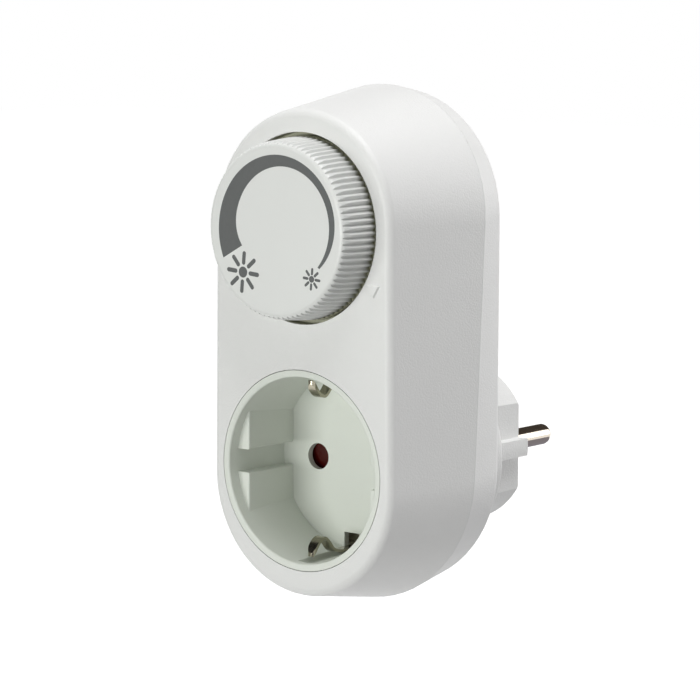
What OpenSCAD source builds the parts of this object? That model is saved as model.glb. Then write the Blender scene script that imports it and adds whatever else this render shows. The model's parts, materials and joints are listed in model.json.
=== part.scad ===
// Plug-in lamp dimmer: an earthed plug behind, an earthed socket and a knurled knob in front.
// X runs to the viewer's right, Z up, and the front face looks towards -Y.
// The origin is the centre of the plug's face, on the axis that plug and socket share.
// Inside the modules, depths run from the front face towards the rear.

/* [Case] */
// Distance between the centres of the case's two round ends
end_pitch = 55.1; // [53:0.1:62]
// How far the lower end's centre lies below the socket axis
end_drop = 2.5; // [1:0.1:3]
// How far the knob axis lies below the upper end's centre
knob_drop = 1; // [0.4:0.1:2]
// Flat land between the socket's rim and the side of the front face
face_land = 2.9; // [2.7:0.1:4]
// How much narrower the upper end is than the lower end, on the radius
face_taper = 0.5; // [0:0.1:0.8]
// How far the sides flare out from the front face to the seam
flare = 4.3; // [3:0.1:5]
// How much higher the lower end lies at the seam than at the front face
low_rise = 0.6; // [0:0.1:1]
// How much higher both ends lie at the rear face than at the seam
rear_rise = 0.65; // [0:0.05:1]
// How far the sides draw in from the seam to the rear face
rear_taper = 1.8; // [1:0.1:2.2]
// Depth of the seam at mid-height
seam_depth = 24.9; // [23:0.1:27]
// Tilt of the seam plane in degrees, deeper at the top
seam_tilt = 3.1; // [0:0.1:4]
// Open line between the two covers at the seam
seam_gap = 0.08; // [0.05:0.01:0.4]
// Length of the lap joint behind the seam line
lap_l = 1.6; // [1:0.1:2.4]
// Clearance inside the lap joint
lap_gap = 0.12; // [0.05:0.01:0.2]
// Wall thickness of both covers
wall = 2.2; // [1.8:0.1:2.4]
// Rounding of the front face's edge
front_fillet = 1.6; // [0.8:0.1:2]
// Rounding of the rear face's edge
rear_fillet = 2.4; // [1:0.1:3]

/* [Knob] */
// Radius over the knurl at the face
knob_r = 18.55; // [17:0.05:19.4]
// How much wider the knurl is at its rear end, on the radius
knob_draft = 0.95; // [0.5:0.05:1.1]
// Height of the knob's face over the front face
knob_rise = 8.3; // [6:0.1:11]
// Rounding between the knob's side and its face
knob_bezel = 1.3; // [0.8:0.1:2]
// Wall of the knob's skirt and face
knob_wall = 2.3; // [1.8:0.1:2.8]
// Number of grooves in the knurl
groove_count = 88; // [60:1:96]
// Depth of the grooves between the ridges
groove_depth = 0.75; // [0.4:0.05:0.9]
// Width of the ring gap between the knob and its well
well_gap = 1.75; // [1:0.05:2]
// Depth of the well around the knob
well_depth = 3; // [2.4:0.1:4]
// Clearance between the knob's skirt and the floor of its well
skirt_gap = 1; // [0.5:0.1:1.4]
// Width of the index mark at its base
index_w = 3; // [2:0.1:4]
// Length of the index mark
index_l = 3.6; // [2:0.1:4]
// Direction of the index mark in degrees, counted from the viewer's right
index_angle = -30.5; // [-60:0.5:-20]
// Height of the index mark over the front face
index_h = 0.4; // [0.2:0.05:0.6]

/* [Socket] */
// Radius of the recess at its mouth
recess_r = 20.05; // [19.8:0.05:20.5]
// How much narrower the recess is at its floor, on the radius
recess_draft = 0.7; // [0.4:0.05:1]
// Depth of the recess
recess_depth = 17.6; // [17:0.1:18.5]
// Width of the rim around the recess
rim_w = 1.45; // [1.2:0.05:1.8]
// Gap between the rim and the front cover
rim_gap = 0.15; // [0.1:0.05:0.25]
// Thickness of the recess floor
floor_t = 1.5; // [1.2:0.1:2.4]
// Distance between the pin holes, and between the plug's pins
pin_pitch = 19; // [18.8:0.1:19.2]
// Radius of the pin holes
pin_hole_r = 2.9; // [2.7:0.05:3]
// How far the guide noses stand in from the recess's mouth
nose_h = 3.4; // [3:0.05:3.8]
// Width of the slot between the two noses of a side
nose_slot = 5.1; // [4.6:0.1:5.6]
// Depth at which the noses begin
nose_start = 2.7; // [2:0.1:5]
// Rounding of the noses' edges
nose_edge = 0.4; // [0.2:0.05:0.6]

/* [Shutter] */
// Depth of the chamber in which the shutter turns
shutter_room = 3; // [2.8:0.1:3.6]
// Half width of a shutter wing
wing_half = 3.4; // [3.1:0.1:3.6]
// How far a wing reaches past the middle of its pin hole
wing_over = 3.7; // [3.1:0.1:4.1]
// Radius of the pivot post
pivot_r = 2.5; // [2:0.1:2.8]
// Running clearance of the shutter on its post
pivot_gap = 0.05; // [0.02:0.01:0.08]
// Turn of the shutter, in degrees, that opens the pin holes
shutter_turn = 40; // [39:1:42]

/* [Earth] */
// Width of the socket's earth strap and its clips
spring_w = 2.3; // [2:0.1:3]
// Width of the plug's earth strap
strap_w = 3.4; // [3:0.1:3.8]
// Thickness of the earth straps
strap_t = 0.65; // [0.5:0.05:0.9]
// Room on each side of a strap in its slots
strap_gap = 0.4; // [0.2:0.05:0.6]
// How far the clips' crests stand in from the recess's mouth
clip_reach = 4.65; // [4.2:0.05:5.4]
// Depth of the crests in the recess
clip_crest_depth = 7.2; // [6:0.1:8]
// Radius of the spacer between the two straps
earth_post_r = 2.5; // [2:0.1:3]

/* [Plug] */
// Radius of the plug's round nose at its face
plug_face_r = 18.2; // [17.6:0.05:18.4]
// How much wider the nose is where it leaves the plinth, on the radius
plug_draft = 0.1; // [0.05:0.05:0.6]
// Length of the nose
plug_l = 18; // [17.5:0.1:19]
// Depth of the nose's side flats
flat_depth = 2.8; // [2.2:0.05:3]
// Height of the rib on each flat
flat_rib = 3.9; // [3.2:0.1:4.2]
// Radius of the plinth under the nose
plinth_r = 24.4; // [22.5:0.1:24.6]
// Height of the plinth over the rear face
plinth_h = 4.5; // [4:0.1:5.5]
// Radius of the plug's pins
pin_r = 2.4; // [2.35:0.05:2.4]
// How much thicker the pins are inside the nose, on the radius
pin_root = 0.3; // [0.2:0.05:0.5]
// Length of the pins over the plug's face
pin_l = 19; // [18.8:0.1:19.2]
// Radius of the flange at a pin's inner end
pin_head_r = 3.4; // [3:0.1:3.8]
// Thickness of that flange
pin_head_t = 1.6; // [1.2:0.1:2]
// Clearance of fixed pieces in their seats
seat_gap = 0.05; // [0.02:0.01:0.1]

/* [Contacts] */
// Thickness of the contact carrier's plate
carrier_t = 2; // [1.6:0.1:2.4]
// Length of the contacts behind that plate
contact_l = 8.8; // [8:0.1:10]
// Thickness of the contact sheet
contact_t = 0.7; // [0.5:0.05:0.8]
// Space between the rear of the contacts and the rear wall
contact_clear = 0.4; // [0.3:0.1:1]

/* [Control] */
// Height of the potentiometer's body
pot_h = 7.5; // [6.5:0.1:8.5]
// Radius of the potentiometer's body
pot_r = 8; // [7:0.1:8.5]
// Radius of the potentiometer's shaft
shaft_r = 3; // [2.8:0.1:3.2]
// Running clearance of the shaft in its bush
shaft_gap = 0.05; // [0.02:0.01:0.08]
// Radius of the threaded bush
bush_r = 4.2; // [4:0.1:4.5]
// Thickness of the circuit board
board_t = 1.6; // [1:0.1:2]
// Room between the circuit board's edge and the case
board_room = 2; // [1:0.1:3]
// Radius of the case screws' shanks
screw_r = 1.45; // [1.25:0.05:1.6]
// Length of the case screws under their heads
screw_l = 20; // [17:0.5:22]
// Radius of the insulated wires
wire_r = 1.1; // [0.8:0.05:1.2]

/* [Hidden] */
$fn = 64;

// Overlap that joins the pieces of one solid, and overrun of the cuts
join = 0.5;
cut = 1;

// Heights of the case's two ends, of its middle and of the knob axis
low_z = -end_drop;
top_z = low_z + end_pitch;
mid_z = (low_z + top_z) / 2;
knob_z = top_z - knob_drop;

// Radii of the case's ends at its three outlines
rim_r = recess_r + rim_w;
recess_floor_r = recess_r - recess_draft;
front_low_r = rim_r + face_land;
front_top_r = front_low_r - face_taper;
seam_r = front_low_r + flare;
rear_r = seam_r - rear_taper;

// Depths of the stack behind the socket
floor_back = recess_depth + floor_t;
carrier_front = floor_back + shutter_room;
carrier_back = carrier_front + carrier_t;
contact_end = carrier_back + contact_l;
rear_inner = contact_end + contact_clear;
case_depth = rear_inner + wall;
plinth_face = case_depth + plinth_h;
plug_face = plinth_face + plug_l;
nose_inner = plinth_face - join;
pin_x = pin_pitch / 2;
wing_l = pin_x + wing_over;

// Depths of the stack behind the knob
well_back = well_depth + wall;
pot_gap = 0.3;
pot_front = well_back + pot_gap;
board_front = pot_front + pot_h;
board_back = board_front + board_t;

// Half width of the circuit board
board_half = front_top_r + (seam_r - front_top_r) * board_front / seam_depth - wall - board_room;

// Well and skirt of the knob
well_r = knob_r + well_gap;
cup_t = 1.2;
skirt_end = well_depth - skirt_gap;
skirt_ring = 0.6;
ring_front = skirt_end - skirt_ring;
ring_r = knob_r + knob_draft;

// Case screws: two beside the waist and one at the top, heads sunk into the rear
boss_r = 3.2;
boss_split = 4.9;
boss_end = seam_depth - boss_split;
head_r = 2.8;
head_t = 2.2;
head_sink = 2.6;
head_dome = 0.6;
screw_clear = 0.15;
screw_inset = 5.1;
waist_rise = 5.5;
waist_z = (rim_r + knob_z - well_r) / 2 + waist_rise;
top_screw_drop = 0.4;
screw_spots = [
    [screw_inset - front_top_r, waist_z],
    [front_top_r - screw_inset, waist_z],
    [0, knob_z + well_r - top_screw_drop]
];

// Board screws in two posts above the potentiometer
post_r = 2.6;
post_x = 14;
post_rise = 8.9;
post_spots = [[-post_x, knob_z + post_rise], [post_x, knob_z + post_rise]];
board_screw_r = 1.1;
board_screw_l = 7;
board_head_r = 2.2;
board_head_t = 1.6;

// Guide noses, clips and plug, measured from the axis that they share
nose_x = recess_r - nose_h;
clip_crest = recess_r - clip_reach;
plug_root_r = plug_face_r + plug_draft;
flat_x = plug_face_r - flat_depth;

// Plug cavity and the slots of the earth straps
cavity_wall = 2.8;
cavity_r = plug_root_r - cavity_wall;
slot_w = strap_w + 2 * strap_gap;
slot_depth = 1.4;
slot_stop = 1.2;
channel_depth = 0.6;
channel_z = recess_r + channel_depth;
channel_sink = 0.25;
clip_wall_z = recess_floor_r - channel_sink;

// Contacts in their carrier
contact_half = 3.6;
contact_reach = 3.2;
contact_side = pin_x + contact_reach;
pocket_gap = 0.3;
pocket_wall = 0.8;
foot_back = nose_inner - pin_head_t;

// Triac on its heat sink
sink_t = 2;
sink_h = 17;
sink_inset = 2.55;
sink_x = sink_inset - board_half;
sink_below = 9;
sink_above = 14;
triac_drop = 2.6;
triac_z = knob_z - triac_drop;
triac_half = 5;
triac_t = 4.5;
triac_l = 8.8;
tab_t = 1.3;
tab_l = 15.2;
tab_hole = 12.6;
triac_stand = 0.8;
triac_seat = sink_x + sink_t;
triac_front = board_back + triac_stand;
triac_hole = triac_front + tab_hole;
triac_legs = [-2.54, 0, 2.54];
triac_leg_set = 2.4;
triac_leg_x = triac_seat + triac_leg_set;
triac_screw_r = 1.5;
triac_head_r = 2.6;
triac_head_t = 2;
triac_nut_r = 3.1;
triac_nut_t = 2.4;
triac_screw_out = 0.8;

// Moves a piece from depths behind the front face to the frame of the plug's face
module placed() translate([0, -plug_face, 0]) children();

// Solid of revolution about the depth axis, from [radius, depth] points
module lathe(profile, x = 0, z = 0)
    translate([x, 0, z]) rotate([-90, 0, 0]) rotate_extrude() polygon(profile);

// Cylinder along the depth axis from one depth to another
module rod(r, from, to, x = 0, z = 0)
    translate([x, from, z]) rotate([-90, 0, 0]) cylinder(r = r, h = to - from);

// Cylinder along X
module cross_rod(r, from, to, y, z)
    translate([from, y, z]) rotate([0, 90, 0]) cylinder(r = r, h = to - from);

// Outline in X and Z, extruded from one depth to another
module slab(from, to)
    translate([0, to, 0]) rotate([90, 0, 0]) linear_extrude(to - from) children();

// Outline in depth and Z, extruded along X about a centre
module side_slab(w, x = 0)
    translate([x, 0, 0]) rotate([90, 0, 90]) linear_extrude(w, center = true) children();

// Box from its lowest to its highest corner
module block(low, high) translate(low) cube(high - low);

// Same shape on both sides of the middle plane
module both_sides() {
    children();
    mirror([1, 0, 0]) children();
}

// Same shape above and below the socket axis
module both_ends() {
    children();
    mirror([0, 0, 1]) children();
}

function mix(a, b, t) = a + (b - a) * t;
function unit(v) = v / norm(v);

// Seam plane: its depth at a height
function seam_y(z) = seam_depth + tan(seam_tilt) * (z - mid_z);

// Outline of the case: [x, z] points counted round from the viewer's right
arc_steps = 32;
function case_outline(low_r, top_r, low_up, top_up) = [
    for (end = [0, 1]) for (i = [0:arc_steps])
        let (a = 180 * (end + i / arc_steps), r = end == 0 ? top_r : low_r)
        [r * cos(a), (end == 0 ? top_z + top_up : low_z + low_up) + r * sin(a)]
];

// Ring round the sides at the seam; a gap moves it along the sides, to the rear where it is positive
function seam_ring(gap, inset) =
    let (slope = gap < 0 ? flare / seam_depth : -rear_taper / (case_depth - seam_depth))
    let (r = seam_r - inset + gap * slope, low_up = low_rise * (1 + min(gap, 0) / seam_depth))
    [for (p = case_outline(r, r, low_up, 0)) [p[0], seam_y(p[1]) + gap, p[1]]];

// Flat rings round the sides, at a distance behind the front face or before the rear face
function front_ring(l, inset) =
    let (t = l / seam_depth, low_r = mix(front_low_r, seam_r, t), top_r = mix(front_top_r, seam_r, t))
    [for (p = case_outline(low_r - inset, top_r - inset, low_rise * t, 0)) [p[0], l, p[1]]];
function rear_ring(l, inset) =
    let (t = l / (case_depth - seam_depth), r = mix(rear_r, seam_r, t) - inset, up = mix(rear_rise, 0, t))
    [for (p = case_outline(r, r, low_rise + up, up)) [p[0], case_depth - l, p[1]]];

// Closed skin over a row of rings with equal numbers of points
module skin(rings) {
    n = len(rings[0]);
    last = (len(rings) - 1) * n;
    polyhedron(
        points = [for (ring = rings) for (p = ring) p],
        faces = concat(
            [for (j = [0:len(rings) - 2]) for (i = [0:n - 1])
                [j * n + i, j * n + (i + 1) % n, (j + 1) * n + i]],
            [for (j = [0:len(rings) - 2]) for (i = [0:n - 1])
                [(j + 1) * n + i, j * n + (i + 1) % n, (j + 1) * n + (i + 1) % n]],
            [[for (i = [n - 1:-1:0]) i]],
            [[for (i = [0:n - 1]) last + i]]
        )
    );
}

// Smooth curve through a list of points
function curve_point(a, b, c, d, t) =
    (2 * b + (c - a) * t + (2 * a - 5 * b + 4 * c - d) * t * t + (3 * b - a - 3 * c + d) * t * t * t) / 2;
function curve(p, steps) = concat(
    [for (i = [0:len(p) - 2]) for (k = [0:steps - 1])
        curve_point(p[max(i - 1, 0)], p[i], p[i + 1], p[min(i + 2, len(p) - 1)], k / steps)],
    [p[len(p) - 1]]
);

// Direction of a path at one of its points
function heading(p, i) = unit(p[min(i + 1, len(p) - 1)] - p[max(i - 1, 0)]);

// Outline of a strip of even thickness along a flat path
function ribbon(p, t) = concat(
    [for (i = [0:len(p) - 1]) let (h = heading(p, i)) p[i] + t / 2 * [-h[1], h[0]]],
    [for (i = [len(p) - 1:-1:0]) let (h = heading(p, i)) p[i] - t / 2 * [-h[1], h[0]]]
);

// Round tube along a path; side is a direction that the path never runs along
tube_sides = 8;
module tube(path, r, side) skin([
    for (i = [0:len(path) - 1])
        let (h = heading(path, i), u = unit(cross(h, side)), v = cross(u, h))
        [for (k = [0:tube_sides - 1]) let (a = 360 * k / tube_sides)
            path[i] + r * (cos(a) * u + sin(a) * v)]
]);

// Quarter rounding as [inset, advance] pairs, from the flat face to the side
fillet_steps = 5;
function rounding(r) = [
    for (i = [0:fillet_steps]) let (a = 90 * i / fillet_steps) [r * (1 - sin(a)), r * (1 - cos(a))]
];

// Screw with a domed head, pointing to the front
module screw(r, l, top_r, top_t, seat, x, z) {
    rod(r, seat - l, seat + join, x, z);
    lathe([
        [0, seat], [top_r, seat], [top_r, seat + top_t / 2],
        [top_r * head_dome, seat + top_t], [0, seat + top_t]
    ], x, z);
}

module front_cover() color("whitesmoke") placed() difference() {
    union() {
        difference() {
            skin(concat([for (f = rounding(front_fillet)) front_ring(f[1], f[0])], [seam_ring(0, 0)]));
            skin([front_ring(wall, wall), seam_ring(cut, wall)]);
            skin([seam_ring(-lap_l, wall / 2), seam_ring(cut, wall / 2)]);
        }
        rod(well_r + cup_t, wall - join, well_back, z = knob_z);
        for (s = screw_spots) rod(boss_r, wall - join, boss_end, s[0], s[1]);
        for (s = post_spots) rod(post_r, well_back - join, board_front, s[0], s[1]);
        index_mark();
    }
    rod(well_r, -cut, well_depth, z = knob_z);
    rod(bush_r + seat_gap, 0, well_back + cut, z = knob_z);
    rod(rim_r + rim_gap, -cut, wall + cut);
    for (s = screw_spots)
        rod(screw_r + seat_gap, rear_seat() - screw_l - join, boss_end + cut, s[0], s[1]);
    for (s = post_spots)
        rod(board_screw_r + seat_gap, board_back - board_screw_l - join, board_front + cut, s[0], s[1]);
}

// Depth of the faces on which the case screws' heads sit
function rear_seat() = case_depth - head_sink;

// Raised triangle with sloping sides that points at the knob
index_gap = 0.2;
index_top = 0.8;
function index_ring(depth, share) =
    let (tip = well_r + index_gap, base = well_r + index_l, middle = (tip + 2 * base) / 3)
    [for (p = [[tip, 0], [base, -index_w / 2], [base, index_w / 2]])
        [mix(middle, p[0], share), depth, p[1] * share]];
module index_mark()
    translate([0, 0, knob_z]) rotate([0, -index_angle, 0])
        skin([index_ring(-index_h, index_top), index_ring(0, 1), index_ring(join, 1)]);

module rear_cover() color("whitesmoke") placed() difference() {
    union() {
        difference() {
            union() {
                skin(concat(
                    [seam_ring(seam_gap, 0)],
                    [for (i = [fillet_steps:-1:0]) let (f = rounding(rear_fillet)[i]) rear_ring(f[1], f[0])]
                ));
                skin([
                    seam_ring(seam_gap - lap_l, wall / 2 + lap_gap),
                    seam_ring(seam_gap + join, wall / 2 + lap_gap)
                ]);
            }
            skin([seam_ring(-lap_l - cut, wall), seam_ring(0, wall), rear_ring(wall, wall)]);
        }
        plinth_and_nose();
        for (s = screw_spots) {
            rod(boss_r, boss_end, case_depth - join, s[0], s[1]);
            rod(head_r + cup_t, rear_seat() - cup_t, case_depth - join, s[0], s[1]);
        }
    }
    rod(cavity_r, rear_inner - cut, nose_inner);
    both_sides() rod(pin_r + pin_root + seat_gap, nose_inner - cut, plug_face + cut, pin_x);
    both_ends() {
        block([-slot_w / 2, rear_inner - cut, 0], [slot_w / 2, plinth_face + cut, plug_root_r]);
        block([-slot_w / 2, plinth_face, plug_face_r - slot_depth],
              [slot_w / 2, plug_face - slot_stop, plug_root_r + cut]);
    }
    for (s = screw_spots) {
        rod(screw_r + screw_clear, boss_end - cut, case_depth + cut, s[0], s[1]);
        rod(head_r + screw_clear, rear_seat(), case_depth + cut, s[0], s[1]);
    }
}

// Round plinth with the plug's nose, its side flats and the rib on each flat
plinth_round = 1;
nose_round = 0.25;
module plinth_and_nose() {
    lathe(concat(
        [[0, rear_inner + join], [plinth_r, rear_inner + join]],
        [for (i = [fillet_steps:-1:0]) let (f = rounding(plinth_round)[i])
            [plinth_r - f[0], plinth_face - f[1]]],
        [[0, plinth_face]]
    ));
    difference() {
        lathe([
            [0, rear_inner + join], [plug_root_r, rear_inner + join], [plug_root_r, plinth_face],
            [plug_face_r, plug_face - nose_round], [plug_face_r - nose_round, plug_face], [0, plug_face]
        ]);
        both_sides() both_ends()
            block([flat_x, plinth_face, flat_rib / 2], [plug_root_r + cut, plug_face + cut, plug_root_r]);
    }
}

module knob() color("white") placed() translate([0, 0, knob_z]) difference() {
    union() {
        difference() {
            union() {
                intersection() {
                    translate([0, ring_front + join, 0]) rotate([90, 0, 0])
                        linear_extrude(ring_front + join + knob_rise + cut, scale = knob_r / ring_r)
                            polygon(knurl);
                    lathe(concat(
                        [[0, -knob_rise]],
                        [for (f = rounding(knob_bezel)) [knob_r - f[0], -knob_rise + f[1]]],
                        [[ring_r + knob_draft, ring_front + join / 2], [0, ring_front + join / 2]]
                    ));
                }
                rod(ring_r, ring_front, skirt_end);
            }
            rod(knob_r - knob_wall, knob_wall - knob_rise, skirt_end + cut);
        }
        rod(hub_r, knob_wall - knob_rise - join, hub_end);
        for (i = [0:web_count - 1]) rotate([0, 360 * i / web_count, 0])
            block([hub_r - join, knob_wall - knob_rise - join, -web_t / 2],
                  [knob_r - knob_wall + join, knob_wall - knob_rise + web_h, web_t / 2]);
    }
    difference() {
        rod(shaft_r + seat_gap, shaft_front - join, hub_end + cut);
        block([-shaft_r - cut, -knob_rise, shaft_flat + seat_gap],
              [shaft_r + cut, hub_end + 2 * cut, shaft_r + cut]);
    }
}

// Outline of the knurl at its rear end: round ridges between narrower grooves
knurl_steps = 6;
groove_narrow = 1.2;
knurl = [for (i = [0:groove_count * knurl_steps - 1])
    let (a = 360 * i / (groove_count * knurl_steps), sink = (1 - cos(groove_count * a)) / 2)
    (ring_r - groove_depth * pow(sink, groove_narrow)) * [cos(a), sin(a)]];

// Hub, webs and D-shaped bore of the knob
hub_r = 5.5;
hub_end = -0.3;
web_count = 6;
web_t = 1.2;
web_h = 3;
shaft_set = 1.2;
shaft_front = knob_wall - knob_rise + shaft_set;
shaft_cut = 1.5;
shaft_flat = shaft_r - shaft_cut;

module socket_insert() color("whitesmoke") placed() difference() {
    union() {
        difference() {
            lathe([
                [0, 0], [rim_r, 0], [rim_r, flange_front], [flange_r, flange_front],
                [flange_r, flange_front + flange_t], [barrel_r, flange_front + flange_t],
                [barrel_r, floor_back], [0, floor_back]
            ]);
            lathe(concat(
                [[0, -cut], [recess_r + rim_edge, -cut]],
                [for (f = rounding(rim_edge)) [recess_r + f[0], f[1]]],
                [[recess_floor_r, recess_depth], [0, recess_depth]]
            ));
        }
        both_sides() both_ends() guide_nose();
        rod(pivot_r, floor_back - join, carrier_back - pocket_gap);
    }
    both_sides() rod(pin_hole_r, recess_depth - cut, floor_back + cut, pin_x);
    both_ends() {
        block([-slot_w / 2, recess_depth - cut, clip_crest + aperture_step],
              [slot_w / 2, floor_back + cut, channel_z]);
        block([-slot_w / 2, channel_start, clip_crest + aperture_step],
              [slot_w / 2, recess_depth, channel_z]);
    }
}

// One of the four noses that guide the plug, with rounded edges towards the mouth and the slot
module guide_nose() intersection() {
    rod(recess_r + join, nose_start, recess_depth + join);
    slab(nose_start, recess_depth + join) polygon(concat(
        [[recess_r + cut, recess_r], [recess_r + cut, nose_slot / 2]],
        [for (f = rounding(nose_edge)) [nose_x + f[0], nose_slot / 2 + f[1]]],
        [[nose_x, recess_r]]
    ));
    linear_extrude(recess_r) polygon(concat(
        [[recess_r + cut, recess_depth + join], [recess_r + cut, nose_start]],
        [for (f = rounding(nose_edge)) [nose_x + f[0], nose_start + f[1]]],
        [[nose_x, recess_depth + join]]
    ));
}

// Flange behind the front wall, barrel and clip channels of the socket insert
flange_front = wall + rim_gap;
flange_w = 0.85;
flange_r = rim_r + flange_w;
flange_t = 2;
barrel_t = 1.85;
barrel_r = recess_floor_r + barrel_t;
rim_edge = 0.45;
channel_start = 1.8;
aperture_step = 0.5;

// Path of one half of the socket's earth strap in depth and height, from its free end to the middle
bend = 1.2;
corner_steps = 4;
strap_seat = 0.15;
strap_back = carrier_back + strap_seat + strap_t / 2;
clip_shape = [[-3.9, 3.5], [-2.8, 1.7], [-1.5, 0.4], [0, 0], [1.4, 1.1], [2.8, 2.7]];
clip_lean = 0.3;
path_steps = 3;
clip_path = curve(concat(
    [for (p = clip_shape) [clip_crest_depth + p[0], clip_crest + p[1]]],
    [[clip_crest_depth + 4.4, clip_wall_z - clip_lean], [clip_crest_depth + 7, clip_wall_z]]
), path_steps);
strap_half = concat(clip_path, corner([strap_back, clip_wall_z]));

// Round corner from running along the depth to running down
function corner(p) = [
    for (i = [0:corner_steps]) let (a = 90 * i / corner_steps)
        [p[0] - bend + bend * sin(a), p[1] - bend + bend * cos(a)]
];

// Strip whose path is the same above and below the axis
module earth_strip(half_path, w) side_slab(w) polygon(ribbon(
    concat(half_path, [for (i = [len(half_path) - 1:-1:0]) [half_path[i][0], -half_path[i][1]]]), strap_t
));

module socket_earth_strap() color("silver") placed() intersection() {
    earth_strip(strap_half, spring_w);
    translate([0, 0, -recess_r]) linear_extrude(2 * recess_r) union() {
        translate([0, clip_path[0][0] + spring_w / 2]) circle(spring_w / 2);
        translate([-spring_w, clip_path[0][0] + spring_w / 2]) square([2 * spring_w, strap_back + cut]);
    }
}

// Side contacts of the plug, bowed a little proud of the nose
tongue_sink = 0.6;
tongue_z = plug_face_r - tongue_sink;
tongue_root_z = tongue_z - 0.1;
bridge_gap = 1.4;
bridge_y = foot_back - bridge_gap;
tongue_path = curve([
    [plug_face - 2, tongue_z - 0.2], [plug_face - 6, tongue_z + 0.5], [plug_face - 11, tongue_z + 0.7],
    [plinth_face + 1.5, tongue_z + 0.1], [plinth_face - 1.5, tongue_root_z]
], path_steps);
module plug_earth_strap() color("silver") placed() earth_strip(concat(
    tongue_path,
    [for (p = corner([-bridge_y, tongue_root_z])) [-p[0], p[1]]]
), strap_w);

module earth_post() color("goldenrod") placed()
    rod(earth_post_r, strap_back + strap_t / 2, bridge_y - strap_t / 2);

module shutter() color("darkred") placed() difference() {
    union() {
        rod(pivot_r + pivot_gap + shutter_hub, floor_back + wing_gap, wing_back + hub_rise);
        for (a = [0, 180]) rotate([0, a, 0]) {
            side_slab(wing_l - pivot_r, (wing_l + pivot_r) / 2) polygon([
                [floor_back + wing_gap, -wing_half], [wing_back, -wing_half],
                [wing_back, wing_half], [floor_back + wing_gap + wing_slope, wing_half]
            ]);
        }
        rod(lug_r, wing_back - join, wing_back + hub_rise, leg_l * cos(lug_turn), leg_l * sin(lug_turn));
    }
    rod(pivot_r + pivot_gap, floor_back - cut, carrier_back);
}

// Wings with sloping fronts, the spring's lug and the spring
wing_gap = 0.15;
wing_slope = 1.1;
spring_room = 1;
wing_back = carrier_front - spring_room;
shutter_hub = 1.1;
hub_rise = 0.75;
lug_r = 0.6;
leg_l = 7.5;
leg_over = 1;
spring_wire = 0.2;
spring_clear = 0.75;
spring_r = pivot_r + pivot_gap + shutter_hub + spring_clear;
spring_turns = 1.5;
spring_grow = 0.9;
leg_turn = -14;
lug_step = asin((lug_r + spring_wire + seat_gap) / leg_l);
lug_turn = leg_turn + lug_step;
spring_lift = 0.45;
spring_front = wing_back + (spring_room - spring_lift) / 2;
spring_ring_count = 36;
function spring_point(r, s) = let (a = leg_turn + 360 * spring_turns * s)
    [r * cos(a), spring_front + spring_lift * s, r * sin(a)];
module shutter_spring() color("gainsboro") placed() tube(concat(
    [spring_point(leg_l + leg_over, 0)],
    [for (i = [0:spring_ring_count]) let (s = i / spring_ring_count)
        spring_point(spring_r + spring_grow * s, s)],
    [spring_point(leg_l + leg_over, 1)]
), spring_wire, [0, 1, 0]);

module contact_carrier() color("ivory") placed() difference() {
    union() {
        difference() {
            rod(carrier_r, floor_back, carrier_back);
            rod(carrier_r - carrier_rim, floor_back - cut, carrier_front);
        }
        both_sides() block(
            [pin_x - contact_half - pocket_wall, carrier_back - join,
             -contact_half - pocket_gap - pocket_wall],
            [contact_side + contact_t + pocket_gap + pocket_wall, contact_end,
             contact_half + pocket_gap + pocket_wall]);
        carrier_pegs();
    }
    rod(pivot_r + seat_gap, floor_back, carrier_back + cut);
    both_sides() {
        rod(pin_hole_r + pocket_gap, floor_back, carrier_back + cut, pin_x);
        block([pin_x - contact_half, carrier_back, -contact_half - pocket_gap],
              [contact_side + contact_t + pocket_gap, contact_end + cut, contact_half + pocket_gap]);
    }
    both_ends() block([-slot_w / 2, floor_back - cut, clip_wall_z - bend],
                      [slot_w / 2, carrier_back + cut, barrel_r]);
    block([-contact_side - contact_t - pocket_gap, contact_end - tag_l - cut, 0],
          [-contact_side + pocket_gap, contact_end + cut, contact_half + pocket_gap + pocket_wall + cut]);
}

// Rim of the carrier, inside the barrel's edge
carrier_set = 0.5;
carrier_r = barrel_r - carrier_set;
carrier_rim = 1.8;

// Stops of the shutter at both ends of its turn, and the peg of the spring's fixed leg
peg_r = 0.8;
peg_reach = pin_x + 2;
peg_gap = 0.1;
peg_front = wing_back - 1.2;
module carrier_pegs() {
    off = wing_half + peg_r + peg_gap;
    rod(peg_r, peg_front, carrier_front + join, peg_reach, off);
    rod(peg_r, peg_front, carrier_front + join,
        peg_reach * cos(shutter_turn) - off * sin(shutter_turn),
        -peg_reach * sin(shutter_turn) - off * cos(shutter_turn));
    rod(lug_r, wing_back + wing_gap, carrier_front + join,
        leg_l * cos(180 + leg_turn - lug_step), leg_l * sin(180 + leg_turn - lug_step));
}

// Female contact: a folded sheet that grips a pin from above and below
tag_l = 3;
tag_top = 9;
grip = pin_r - 0.05;
lip = 1.6;
lip_rise = 0.3;
foot_half = 2;
module contact_jaw() slab(carrier_back, contact_end) {
    translate([contact_side, -contact_half]) square([contact_t, 2 * contact_half]);
    for (s = [-1, 1]) scale([1, s]) polygon(concat(
        jaw_line(contact_t), [for (i = [3:-1:0]) jaw_line(0)[i]]
    ));
}

// One jaw's outer or inner line, from the contact's side over the pinch to the lip
function jaw_line(t) = [
    [contact_side + contact_t / 2, contact_half - contact_t + t], [pin_x + 1.3, contact_half - contact_t + t],
    [pin_x, grip + t], [pin_x - lip, grip + lip_rise + t]
];

module contact_load() color("goldenrod") placed() mirror([1, 0, 0]) {
    contact_jaw();
    block([contact_side, contact_end - tag_l, 0], [contact_side + contact_t, contact_end, tag_top]);
}

module contact_neutral() color("goldenrod") placed() {
    contact_jaw();
    block([contact_side, contact_end - join, -foot_half], [contact_side + contact_t, foot_back, foot_half]);
    block([pin_x - foot_half, foot_back - contact_t, -foot_half],
          [contact_side + contact_t, foot_back, foot_half]);
}

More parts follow.
